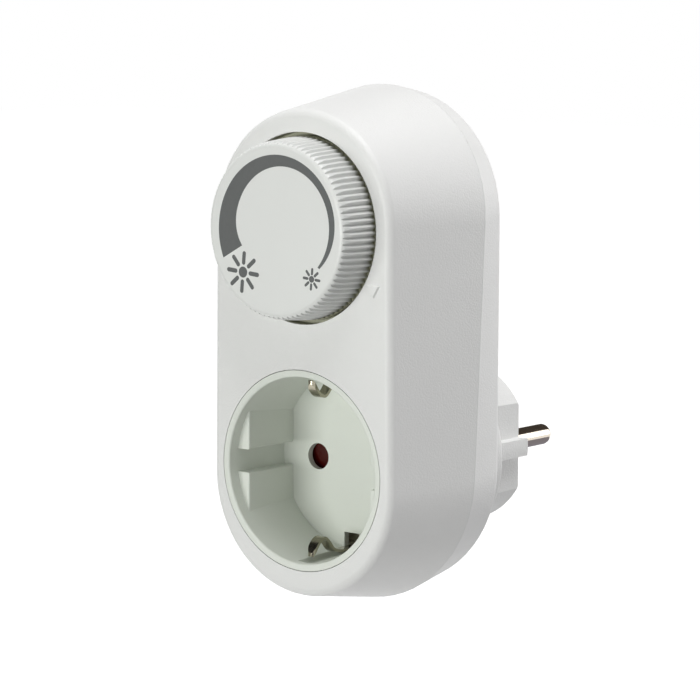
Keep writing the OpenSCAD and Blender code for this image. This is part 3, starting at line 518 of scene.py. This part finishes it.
def laminate(name, mask_rgb, copper_rgb):
    """Circuit board: glass laminate under solder mask, with copper tracks as lighter fields."""
    track, gap_share, copper = 6 * MM, 0.06, 0.035 * MM
    material, tree, shader, place = new_material(name)
    tracks = add_node(
        tree,
        "ShaderNodeTexVoronoi",
        {"feature": "DISTANCE_TO_EDGE"},
        Vector=place,
        Scale=1 / track,
        Randomness=0.7,
    )
    edge = add_node(
        tree,
        "ShaderNodeMath",
        {"operation": "GREATER_THAN"},
        in_0=tracks.outputs["Distance"],
        in_1=gap_share,
    )
    tone = add_node(
        tree,
        "ShaderNodeMix",
        MIX_COLOUR,
        Factor=edge.outputs[0],
        in_6=rgba(mask_rgb),
        in_7=rgba(copper_rgb),
    )
    bump = add_node(
        tree, "ShaderNodeBump", Strength=1.0, Distance=copper, Height=edge.outputs[0]
    )
    shader.inputs["Roughness"].default_value = 0.35
    shader.inputs["IOR"].default_value = 1.55
    tree.links.new(tone.outputs[MIXED], shader.inputs["Base Color"])
    tree.links.new(bump.outputs["Normal"], shader.inputs["Normal"])
    return material


def wound_copper(name, rgb, wire, low):
    """Enamelled wire laid turn by turn: a rib for each turn along the drum's axis, and painted
    shade in the groove between turns.
    """
    # Share of the colour left in the grooves, where shade is painted
    groove_shade_share = 0.45
    material, tree, shader, place = new_material(name)
    split = add_node(tree, "ShaderNodeSeparateXYZ", Vector=place)
    turns = add_node(
        tree, "ShaderNodeMath", {"operation": "SUBTRACT"}, in_0=split.outputs["Y"], in_1=low
    )
    phase = add_node(
        tree,
        "ShaderNodeMath",
        {"operation": "MULTIPLY"},
        in_0=turns.outputs[0],
        in_1=2 * math.pi / wire,
    )
    wave = add_node(tree, "ShaderNodeMath", {"operation": "COSINE"}, in_0=phase.outputs[0])
    rib = add_node(
        tree,
        "ShaderNodeMath",
        {"operation": "MULTIPLY_ADD"},
        in_0=wave.outputs[0],
        in_1=-0.5,
        in_2=0.5,
    )
    # Painted shade: the colour darkens in the groove between turns
    tone = add_node(
        tree,
        "ShaderNodeMix",
        MIX_COLOUR,
        Factor=rib.outputs[0],
        in_6=rgba(rgb, groove_shade_share),
        in_7=rgba(rgb),
    )
    bump = add_node(
        tree, "ShaderNodeBump", Strength=1.0, Distance=wire / 2, Height=rib.outputs[0]
    )
    shader.inputs["Metallic"].default_value = 0.8
    shader.inputs["Roughness"].default_value = 0.3
    tree.links.new(tone.outputs[MIXED], shader.inputs["Base Color"])
    tree.links.new(bump.outputs["Normal"], shader.inputs["Normal"])
    return material


def drawn_glass(name, rgb):
    """Drawn glass tube: clear, with faint streaks along it."""
    streak_l, streak_w, streak_depth = 50 * MM, 0.6 * MM, 0.01 * MM
    material, tree, shader, place = new_material(name)
    stretch = (1 / streak_l, 1 / streak_w, 1 / streak_w)
    spread = add_node(tree, "ShaderNodeMapping", Vector=place, Scale=stretch).outputs["Vector"]
    streaks = add_node(tree, "ShaderNodeTexNoise", Vector=spread, Scale=1.0)
    bump = add_node(
        tree,
        "ShaderNodeBump",
        Strength=0.4,
        Distance=streak_depth,
        Height=streaks.outputs["Fac"],
    )
    shader.inputs["Base Color"].default_value = rgba(rgb)
    shader.inputs["Transmission Weight"].default_value = 1.0
    shader.inputs["Roughness"].default_value = 0.04
    shader.inputs["IOR"].default_value = 1.5
    tree.links.new(bump.outputs["Normal"], shader.inputs["Normal"])
    return material


def dress(node, material):
    """Smooth a CAD node's shading and give it its material."""
    soften(NODES[node], knurl=bpy.context.scene.dimmer_knurl if node == "knob" else None)
    slots = NODES[node].data.materials
    slots.clear()
    slots.append(material)


# Pieces


def piece(name, mesh, body, material):
    """Object from a mesh that rides on a body and takes the given material."""
    obj = bpy.data.objects.new(name, mesh)
    bpy.context.scene.collection.objects.link(obj)
    mesh.materials.append(material)
    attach(obj, body)
    return obj


def finished(name, shape):
    """Mesh of a bmesh, which is then freed."""
    mesh = bpy.data.meshes.new(name)
    shape.to_mesh(mesh)
    shape.free()
    return mesh


def printed(name, outlines, shift, ink):
    """Mesh of closed outlines on the knob's face, raised over it by the ink's thickness."""
    centre = KNOB_CENTRE + Vector((shift[0], 0, shift[1]))
    shape = bmesh.new()
    for outline in outlines:
        low = [shape.verts.new(centre + Vector((x, 0, z))) for x, z in outline]
        high = [shape.verts.new(v.co - Vector((0, ink, 0))) for v in low]
        shape.faces.new(high)
        shape.faces.new(low[::-1])
        count = len(outline)
        for i in range(count):
            shape.faces.new((low[i], low[(i + 1) % count], high[(i + 1) % count], high[i]))
    bmesh.ops.recalc_face_normals(shape, faces=shape.faces)
    return finished(name, shape)


def arc_outline(p, steps=72):
    """Tapered arc: a round outer edge, and an inner edge about a centre of its own."""
    # The draw takes up 1/3.7 of the arc and the swell 1/6; the inner edge follows 1/6 of the draw
    draw_part, swell_part, follow_part = 3.7, 6, 6
    shift_x, shift_z = p.arc_shift
    outer, inner = [], []
    for i in range(steps + 1):
        share = i / steps
        draw = p.arc_draw * max(0, 1 - share * draw_part) ** 2
        swell = p.arc_swell * max(0, share * swell_part - (swell_part - 1)) ** 2
        a = p.arc_from + (p.arc_to - p.arc_from) * share
        outer.append(((p.arc_r - draw) * math.cos(a), (p.arc_r - draw) * math.sin(a)))
        a -= p.arc_slant * share
        along = shift_x * math.cos(a) + shift_z * math.sin(a)
        across = shift_z * math.cos(a) - shift_x * math.sin(a)
        edge_r = along + math.sqrt(p.arc_inner_r**2 - across**2)
        inner_r = edge_r - draw / follow_part - swell
        inner.append((inner_r * math.cos(a), inner_r * math.sin(a)))
    return outer + inner[::-1]


def sun_outlines(centre, reach, dot_r, ray_w, turn, rays, steps=8):
    """Sun: a round dot, and rays with round ends that start about a third of the way out."""
    start_share = 0.35
    x, z = centre
    start, half = start_share * reach, ray_w / 2
    dot = [2 * math.pi * i / (4 * steps) for i in range(4 * steps)]
    outlines = [[(x + dot_r * math.cos(a), z + dot_r * math.sin(a)) for a in dot]]
    for k in range(rays):
        way = math.pi / 2 - turn + 2 * math.pi * k / rays
        cos, sin = math.cos(way), math.sin(way)
        capsule = []
        for centre_r, first in ((reach - half, -math.pi / 2), (start + half, math.pi / 2)):
            for i in range(steps + 1):
                a = first + math.pi * i / steps
                along, across = centre_r + half * math.cos(a), half * math.sin(a)
                capsule.append((x + along * cos - across * sin, z + along * sin + across * cos))
        outlines.append(capsule)
    return outlines


def screw_mesh(p, shank, steps=24, rows=6, dome_rows=6):
    """Screw along -Y with its seat at the origin: a threaded shank and a domed head."""
    # Shares: of the pitch that the thread's ridge takes, and of the head that its edge takes
    ridge, edge = 0.5, 0.35
    # Less than 1, so that the dome ends in a flat a little wider than a round one would
    dome_bend = 0.97
    turns = math.floor(shank / p.pitch)
    rings = []
    for j in range(turns * rows + 1):
        y = -shank + j * shank / (turns * rows)
        taper = min(1, (j + 1) / rows)
        ring = []
        for i in range(steps):
            phase = (y / p.pitch - i / steps) % 1
            crest = max(0, 1 - abs(phase - 0.5) * 2 / ridge)
            ring.append((y, taper * (p.core_r + (p.thread_r - p.core_r) * crest)))
        rings.append(ring)
    rings.append([(0, p.head_r)] * steps)
    for k in range(dome_rows):
        a = math.pi / 2 * k / dome_rows
        y = p.head_t * (edge + (1 - edge) * math.sin(a))
        rings.append([(y, p.head_r * math.cos(a * dome_bend))] * steps)
    shape = bmesh.new()
    grid = []
    for ring in rings:
        row = []
        for i, (y, r) in enumerate(ring):
            a = 2 * math.pi * i / steps
            row.append(shape.verts.new((r * math.cos(a), y, r * math.sin(a))))
        grid.append(row)
    for low, high in zip(grid, grid[1:]):
        for i in range(steps):
            shape.faces.new((low[i], high[i], high[(i + 1) % steps], low[(i + 1) % steps]))
    shape.faces.new(grid[0])
    shape.faces.new(grid[-1][::-1])
    bmesh.ops.recalc_face_normals(shape, faces=shape.faces)
    return finished("screw", shape)


def cross_mesh(p):
    """Cutter of the cross drive: two crossed bars that narrow towards the bottom."""
    foot_share = 0.55
    shape = bmesh.new()
    for turn in (0, math.pi / 2):
        bar = bmesh.ops.create_cube(shape, size=1)["verts"]
        for v in bar:
            x, y, z = v.co
            narrow = 1.0 if y > 0 else foot_share
            v.co = (x * p.slot_l * narrow, y * 2 * p.slot_d + p.head_t, z * p.slot_w * narrow)
        bmesh.ops.rotate(shape, verts=bar, matrix=Matrix.Rotation(turn, 3, "Y"))
    return finished("cross", shape)


def with_cut(mesh, cutter, name):
    """Mesh with a cutter's shape taken out of it."""
    scene = bpy.context.scene
    body = bpy.data.objects.new(name, mesh)
    tool = bpy.data.objects.new(name + "_cut", cutter)
    for obj in (body, tool):
        scene.collection.objects.link(obj)
    cut = body.modifiers.new("cut", "BOOLEAN")
    cut.operation = "DIFFERENCE"
    cut.object = tool
    cut.solver = "EXACT"
    cut.use_self = True
    dressed = body.evaluated_get(bpy.context.evaluated_depsgraph_get())
    result = bpy.data.meshes.new_from_object(dressed)
    for obj in (body, tool):
        bpy.data.objects.remove(obj)
    return result


def flat_mesh(name, x, y, material, z=0.0):
    """Flat rectangle with half the width x and half the depth y."""
    mesh = bpy.data.meshes.new(name)
    mesh.from_pydata([(-x, -y, z), (x, -y, z), (x, y, z), (-x, y, z)], [], [(0, 1, 2, 3)])
    mesh.materials.append(material)
    return mesh


# Operators


class DIMMER_OT_covers(bpy.types.Operator):
    """Dress the two covers"""

    bl_idname = "dimmer.covers"
    bl_label = "Covers"

    def execute(self, context):
        # Polycarbonate from a spark-eroded tool: satin, with a fine sandy grain.
        # The real grain is about 0.1 mm wide, and is drawn at 0.4 mm so that it shows.
        material = moulded(
            "polycarbonate_spark_eroded",
            context.scene.dimmer_colours.cover,
            ior=1.58,
            roughness=0.46,
            grain=0.4 * MM,
            depth=0.07 * MM,
            # Shade is painted into the well round the knob
            painted_shade=True,
        )
        for node in ("front_cover", "rear_cover"):
            dress(node, material)
        return {"FINISHED"}


class DIMMER_OT_knob(bpy.types.Operator):
    """Dress the knob and print its scale"""

    bl_idname = "dimmer.knob"
    bl_label = "Knob"

    def execute(self, context):
        paint = context.scene.dimmer_colours
        p = context.scene.dimmer_print
        # ABS from a polished tool: smoother than the covers, with a soft gloss
        abs_plastic = moulded(
            "abs_satin_moulded",
            paint.knob,
            ior=1.54,
            roughness=0.38,
            grain=0.5 * MM,
            depth=0.008 * MM,
            mottle=0.01,
            # Shade is painted into the knob's rear inside its well
            painted_shade=True,
        )
        dress("knob", abs_plastic)
        # Pad-printed ink: matt, with a faint unevenness where the pad lifted
        ink = moulded(
            "ink_pad_printed",
            paint.ink,
            ior=1.5,
            roughness=0.55,
            grain=0.6 * MM,
            depth=0.004 * MM,
            mottle=0.05,
        )
        big = (p.big_sun, p.big_r, p.big_dot, p.big_ray)
        small = (p.small_sun, p.small_r, p.small_dot, p.small_ray)
        prints = {
            "scale_arc": [arc_outline(p)],
            "big_sun": sun_outlines(*big, p.sun_turn, p.rays),
            "small_sun": sun_outlines(*small, p.sun_turn, p.rays),
        }
        for name, outlines in prints.items():
            mesh = printed(name, outlines, p.shift, p.ink)
            piece(name, mesh, "knob", ink)
        return {"FINISHED"}


class DIMMER_OT_socket(bpy.types.Operator):
    """Dress the socket, its shutter and its earth strap"""

    bl_idname = "dimmer.socket"
    bl_label = "Socket"

    def execute(self, context):
        paint = context.scene.dimmer_colours
        # Polycarbonate from a fine-ground tool: even and a little glossier than the covers
        ground = moulded(
            "polycarbonate_fine_ground",
            paint.insert,
            ior=1.58,
            roughness=0.42,
            grain=0.5 * MM,
            depth=0.01 * MM,
        )
        # Nylon from a polished tool: dark red, with clear reflections
        nylon = moulded(
            "nylon_polished_moulded",
            paint.shutter,
            ior=1.53,
            roughness=0.16,
            grain=0.5 * MM,
            depth=0.006 * MM,
            mottle=0.05,
        )
        # Spring brass, stamped and then nickel-plated in bulk: duller than the pins, with faint
        # rolling lines
        strip = worked_metal(
            "nickel_plated_strip",
            paint.dull_nickel,
            roughness=0.2,
            lines=0.25 * MM,
            depth=0.004 * MM,
            direction=(1, 0, 0),
        )
        dress("socket_insert", ground)
        dress("shutter", nylon)
        dress("socket_earth_strap", strip)
        return {"FINISHED"}


class DIMMER_OT_plug(bpy.types.Operator):
    """Dress the plug's pins and earth strap"""

    bl_idname = "dimmer.plug"
    bl_label = "Plug"

    def execute(self, context):
        # Turned brass under bright nickel: a mirror with faint turning lines round the pin
        turned = worked_metal(
            "nickel_plated_turned",
            context.scene.dimmer_colours.nickel,
            roughness=0.1,
            lines=0.2 * MM,
            depth=0.001 * MM,
            direction=(0, 1, 0),
        )
        dress("plug_pins", turned)
        dress("plug_earth_strap", bpy.data.materials["nickel_plated_strip"])
        return {"FINISHED"}


class DIMMER_OT_screws(bpy.types.Operator):
    """Make the case screws with their threads and cross drives"""

    bl_idname = "dimmer.screws"
    bl_label = "Case Screws"

    def execute(self, context):
        p = context.scene.dimmer_screw
        low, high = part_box("case_screws")
        seat_y = high.y - p.head_t
        screw = with_cut(screw_mesh(p, seat_y - low.y), cross_mesh(p), "case_screw")
        # Zinc-plated steel: grey, a little cloudy from the bath
        steel = worked_metal(
            "steel_zinc_plated",
            context.scene.dimmer_colours.steel,
            roughness=0.32,
            lines=0.3 * MM,
            depth=0.003 * MM,
            direction=(1, 1, 1),
        )
        for i, (x, z) in enumerate(self.spots(low, high, p.head_r)):
            mesh = screw.copy()
            mesh.transform(Matrix.Translation((x, seat_y, z)))
            obj = piece(f"case_screw_{i + 1}", mesh, "housing", steel)
            soften(obj)
            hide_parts("case_screws")
        return {"FINISHED"}

    def spots(self, low, high, head_r):
        """Axes of the three screws: two lower ones at the sides and one at the top."""
        return [
            (low.x + head_r, low.z + head_r),
            (high.x - head_r, low.z + head_r),
            ((low.x + high.x) / 2, high.z - head_r),
        ]


class DIMMER_OT_inside(bpy.types.Operator):
    """Dress the pieces inside the case"""

    bl_idname = "dimmer.inside"
    bl_label = "Inside"

    # Colour, IOR, roughness, width and depth of the grain in millimetres, and mottle
    MOULDINGS = {
        # Urea resin: ivory, dull
        "urea_resin_moulded": ("#D8D2BE", 1.6, 0.5, 0.5, 0.01, 0.015),
        # Epoxy of a power package: black, matt, sandy
        "epoxy_moulded": ("#26262A", 1.55, 0.6, 0.3, 0.015, 0.1),
        # Ferrite: sintered, dark grey, granular
        "ferrite_sintered": ("#3A3B3E", 2.0, 0.65, 0.25, 0.02, 0.15),
        # Flame-proof polyester of a suppression capacitor's box: yellow, glossy
        "polyester_moulded": ("#D9A81E", 1.57, 0.3, 0.6, 0.006, 0.03),
        # Epoxy that a film capacitor is dipped in: red, glossy
        "epoxy_dipped": ("#8E2A1C", 1.55, 0.25, 1.2, 0.03, 0.06),
        # PVC insulation, extruded: smooth with a waxy gloss
        "pvc_extruded_brown": ("#5A3620", 1.53, 0.4, 0.8, 0.008, 0.05),
        "pvc_extruded_grey": ("#515255", 1.53, 0.4, 0.8, 0.008, 0.05),
    }
    # Colour rings: from and to in shares of the length, and colour
    RESISTOR_RINGS = (
        (0.32, 0.38, "#6B3B1E"),
        (0.42, 0.48, "#1C1C1E"),
        (0.52, 0.58, "#E08A1E"),
        (0.64, 0.68, "#C9A227"),
    )
    DIAC_RINGS = ((0.6, 0.68, "#202022"),)
    # Pieces that each material goes on
    USES = {
        "urea_resin_moulded": ["contact_carrier"],
        "brass_stamped": ["contact_load", "contact_neutral", "earth_post", "fuse_clips"],
        "steel_zinc_plated": [
            "shutter_spring",
            "potentiometer_body",
            "potentiometer_shaft",
            "potentiometer_nut",
            "board_screws",
            "triac_screw",
            "triac_nut",
        ],
        "aluminium_mill_finish": ["heat_sink"],
        "epoxy_moulded": ["triac"],
        "ferrite_sintered": ["choke_core"],
        "copper_enamelled_wound": ["choke_winding"],
        "polyester_moulded": ["suppression_capacitor"],
        "epoxy_dipped": ["timing_capacitor"],
        "carbon_film_lacquered": ["resistors"],
        "glass_sealed_diode": ["diac"],
        "glass_drawn": ["fuse"],
        "glass_laminate_masked": ["circuit_board"],
        "pvc_extruded_brown": ["line_wire"],
        "pvc_extruded_grey": ["load_wire"],
    }

    def execute(self, context):
        for name, (shade, ior, roughness, grain, depth, mottle) in self.MOULDINGS.items():
            moulded(name, linear(shade), ior, roughness, grain * MM, depth * MM, mottle)
        # Brass sheet, stamped: warm, with rolling lines
        worked_metal(
            "brass_stamped",
            context.scene.dimmer_colours.brass,
            roughness=0.3,
            lines=0.3 * MM,
            depth=0.004 * MM,
            direction=(1, 0, 0),
        )
        # Aluminium sheet as it comes from the mill: pale, with faint rolling lines
        worked_metal(
            "aluminium_mill_finish",
            linear("#C8CACC"),
            roughness=0.35,
            lines=0.3 * MM,
            depth=0.005 * MM,
            direction=(0, 1, 0),
        )
        # Carbon-film resistors: lacquer with four colour rings
        banded(
            "carbon_film_lacquered",
            "resistors",
            linear("#C8A97A"),
            self.RESISTOR_RINGS,
            roughness=0.3,
            ior=1.5,
        )
        # Glass diode body: red-brown glass with a dark ring
        banded(
            "glass_sealed_diode",
            "diac",
            linear("#B5652F"),
            self.DIAC_RINGS,
            roughness=0.15,
            ior=1.5,
        )
        # Drawn glass of the fuse: clear and smooth
        drawn_glass("glass_drawn", linear("#DDE8E6"))
        # Enamelled copper wire, wound: reddish, with painted shade in the groove at each turn
        winding_low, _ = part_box("choke_winding")
        wound_copper(
            "copper_enamelled_wound", linear("#B5622E"), wire=0.5 * MM, low=winding_low.y
        )
        # Glass-fibre laminate under green solder mask: satin, with lighter tracks
        laminate("glass_laminate_masked", linear("#1F4D2B"), linear("#2F6B3A"))
        for name, nodes in self.USES.items():
            for node in nodes:
                dress(node, bpy.data.materials[name])
        return {"FINISHED"}


class DIMMER_OT_stage(bpy.types.Operator):
    """Set up the floor, the light and the camera"""

    bl_idname = "dimmer.stage"
    bl_label = "Stage"

    # Spot on the dimmer that the lamps and most cards face
    MIDDLE = (0, -0.04, 0.03)
    # Soft boxes: place, width and height in metres, power in watts, and tint
    LAMPS = {
        "top_box": ((0.18, -0.12, 0.61), 0.4, 0.4, 3.1, (1, 1, 1)),
        "front_box": ((-0.2, -0.9, -0.02), 0.6, 0.12, 4.2, (0.98, 1, 0.965)),
        "side_box": ((0.45, 0.82, 0.25), 0.5, 0.6, 2.6, (1, 1, 1)),
        "rear_box": ((0.14, 0.45, 0.58), 0.5, 0.5, 1.4, (1, 1, 1)),
    }
    # The soft box that bright metal doesn't mirror
    UNMIRRORED = "rear_box"
    # Cards that bright metal mirrors: place, the spot they face, width and height in metres,
    # and the colour of their matt paper
    CARDS = {
        "card_front": ((-0.48, -0.4, 0.55), MIDDLE, 0.5, 0.5, "#141414"),
        "card_left": ((-0.55, -0.65, 0.1), MIDDLE, 0.7, 0.5, "#141414"),
        "card_mat": ((-0.15, -0.5, -0.088), (-0.15, -0.5, 1), 0.9, 0.6, "#4A4A4A"),
        "card_rear": ((-0.03, 0.75, 0.52), MIDDLE, 1.25, 0.72, "#6A625B"),
        "card_low": ((0.03, 0.17, -0.088), (0.03, 0.17, 1), 0.5, 0.15, "#9F9DA8"),
    }
    # Half the floor's width and the camera's nearest distance in metres, and its sensor in mm
    FLOOR_HALF = 3.0
    NEAREST = 0.01
    SENSOR = 36

    def execute(self, context):
        p = context.scene.dimmer_stage
        scene = context.scene
        scene.view_settings.view_transform = "Standard"
        self.floor(scene, p)
        self.world(scene, p)
        for name, (place, width, height, power, tint) in self.LAMPS.items():
            lamp = bpy.data.lights.new(name, "AREA")
            lamp.shape = "RECTANGLE"
            lamp.size, lamp.size_y, lamp.energy, lamp.color = width, height, power, tint
            box = bpy.data.objects.new(name, lamp)
            box.visible_glossy = name != self.UNMIRRORED
            self.hang(scene, box, place, self.MIDDLE)
        self.cards(scene)
        camera = bpy.data.cameras.new("camera")
        camera.sensor_width = self.SENSOR
        camera.lens = p.lens
        camera.clip_start = self.NEAREST
        eye = bpy.data.objects.new("camera", camera)
        eye.location = p.eye
        eye.rotation_euler = p.aim
        scene.collection.objects.link(eye)
        scene.camera = eye
        return {"FINISHED"}

    def hang(self, scene, obj, place, spot):
        """Put a lamp or a card in its place and turn it to a spot."""
        obj.location = place
        obj.rotation_euler = (Vector(spot) - Vector(place)).to_track_quat("-Z", "Y").to_euler()
        scene.collection.objects.link(obj)

    def cards(self, scene):
        """Matt cards that only reflections see, so that they take no light from the dimmer."""
        for name, (place, spot, width, height, shade) in self.CARDS.items():
            material, tree = empty_material("paper_matt_" + name)
            paper = add_node(tree, "ShaderNodeBsdfDiffuse", Color=rgba(linear(shade)))
            add_node(tree, "ShaderNodeOutputMaterial", Surface=paper.outputs[0])
            card = bpy.data.objects.new(name, flat_mesh(name, width / 2, height / 2, material))
            self.hang(scene, card, place, spot)
            card.visible_camera = card.visible_diffuse = card.visible_shadow = False
            card.visible_transmission = card.visible_volume_scatter = False

    def seen(self, tree):
        """Share that is 1 for camera, glossy and transmission rays, which see the background."""
        path = add_node(tree, "ShaderNodeLightPath")
        first = add_node(
            tree,
            "ShaderNodeMath",
            {"operation": "MAXIMUM"},
            in_0=path.outputs["Is Camera Ray"],
            in_1=path.outputs["Is Glossy Ray"],
        )
        return add_node(
            tree,
            "ShaderNodeMath",
            {"operation": "MAXIMUM"},
            in_0=first.outputs[0],
            in_1=path.outputs["Is Transmission Ray"],
        ).outputs[0]

    def floor(self, scene, p):
        """Pale painted floor; its own glow fills it up to white and leaves the shadow."""
        material, tree = empty_material("paint_matt_white")
        paint = add_node(tree, "ShaderNodeBsdfDiffuse", Color=rgba(p.floor))
        shine = add_node(
            tree, "ShaderNodeMath", {"operation": "MULTIPLY"}, in_0=self.seen(tree), in_1=p.glow
        )
        glow = add_node(
            tree, "ShaderNodeEmission", Color=(1, 1, 1, 1), Strength=shine.outputs[0]
        )
        both = add_node(
            tree, "ShaderNodeAddShader", in_0=paint.outputs[0], in_1=glow.outputs[0]
        )
        add_node(tree, "ShaderNodeOutputMaterial", Surface=both.outputs[0])
        z = CAD_BOX[0].z - p.drop
        mesh = flat_mesh("floor", self.FLOOR_HALF, self.FLOOR_HALF, material, z)
        floor = bpy.data.objects.new("floor", mesh)
        scene.collection.objects.link(floor)

    def world(self, scene, p):
        """Even room light, and white for the rays that see the background."""
        world = bpy.data.worlds.new("studio")
        scene.world = world
        world.use_nodes = True
        tree = world.node_tree
        tree.nodes.clear()
        strength = add_node(
            tree, "ShaderNodeMapRange", Value=self.seen(tree), To_Min=p.room, To_Max=1.0
        )
        light = add_node(
            tree,
            "ShaderNodeBackground",
            Color=(1, 1, 1, 1),
            Strength=strength.outputs["Result"],
        )
        add_node(tree, "ShaderNodeOutputWorld", Surface=light.outputs[0])


class DIMMER_PT_panel(bpy.types.Panel):
    """Sizes and steps of the dimmer"""

    bl_label = "Dimmer"
    bl_idname = "DIMMER_PT_panel"
    bl_space_type = "VIEW_3D"
    bl_region_type = "UI"
    bl_category = "Dimmer"

    def draw(self, context):
        for group in GROUPS:
            settings = getattr(context.scene, group)
            box = self.layout.box()
            box.label(text=settings.bl_rna.name)
            for name in settings.bl_rna.properties.keys():
                if name not in ("rna_type", "name"):
                    box.prop(settings, name)
        for operator in OPERATORS:
            self.layout.operator(operator.bl_idname)


GROUPS = {
    "dimmer_print": DimmerPrint,
    "dimmer_knurl": DimmerKnurl,
    "dimmer_screw": DimmerScrew,
    "dimmer_colours": DimmerColours,
    "dimmer_stage": DimmerStage,
}
OPERATORS = (
    DIMMER_OT_stage,
    DIMMER_OT_covers,
    DIMMER_OT_knob,
    DIMMER_OT_socket,
    DIMMER_OT_plug,
    DIMMER_OT_screws,
    DIMMER_OT_inside,
)


def register():
    for cls in (*GROUPS.values(), *OPERATORS, DIMMER_PT_panel):
        bpy.utils.register_class(cls)
    for name, group in GROUPS.items():
        setattr(bpy.types.Scene, name, PointerProperty(type=group))


def unregister():
    for name in GROUPS:
        delattr(bpy.types.Scene, name)
    for cls in (DIMMER_PT_panel, *reversed(OPERATORS), *GROUPS.values()):
        bpy.utils.unregister_class(cls)


def main():
    register()
    bpy.ops.dimmer.stage()
    bpy.ops.dimmer.covers()
    bpy.ops.dimmer.knob()
    bpy.ops.dimmer.socket()
    bpy.ops.dimmer.plug()
    bpy.ops.dimmer.screws()
    bpy.ops.dimmer.inside()


if __name__ == "__main__":
    main()
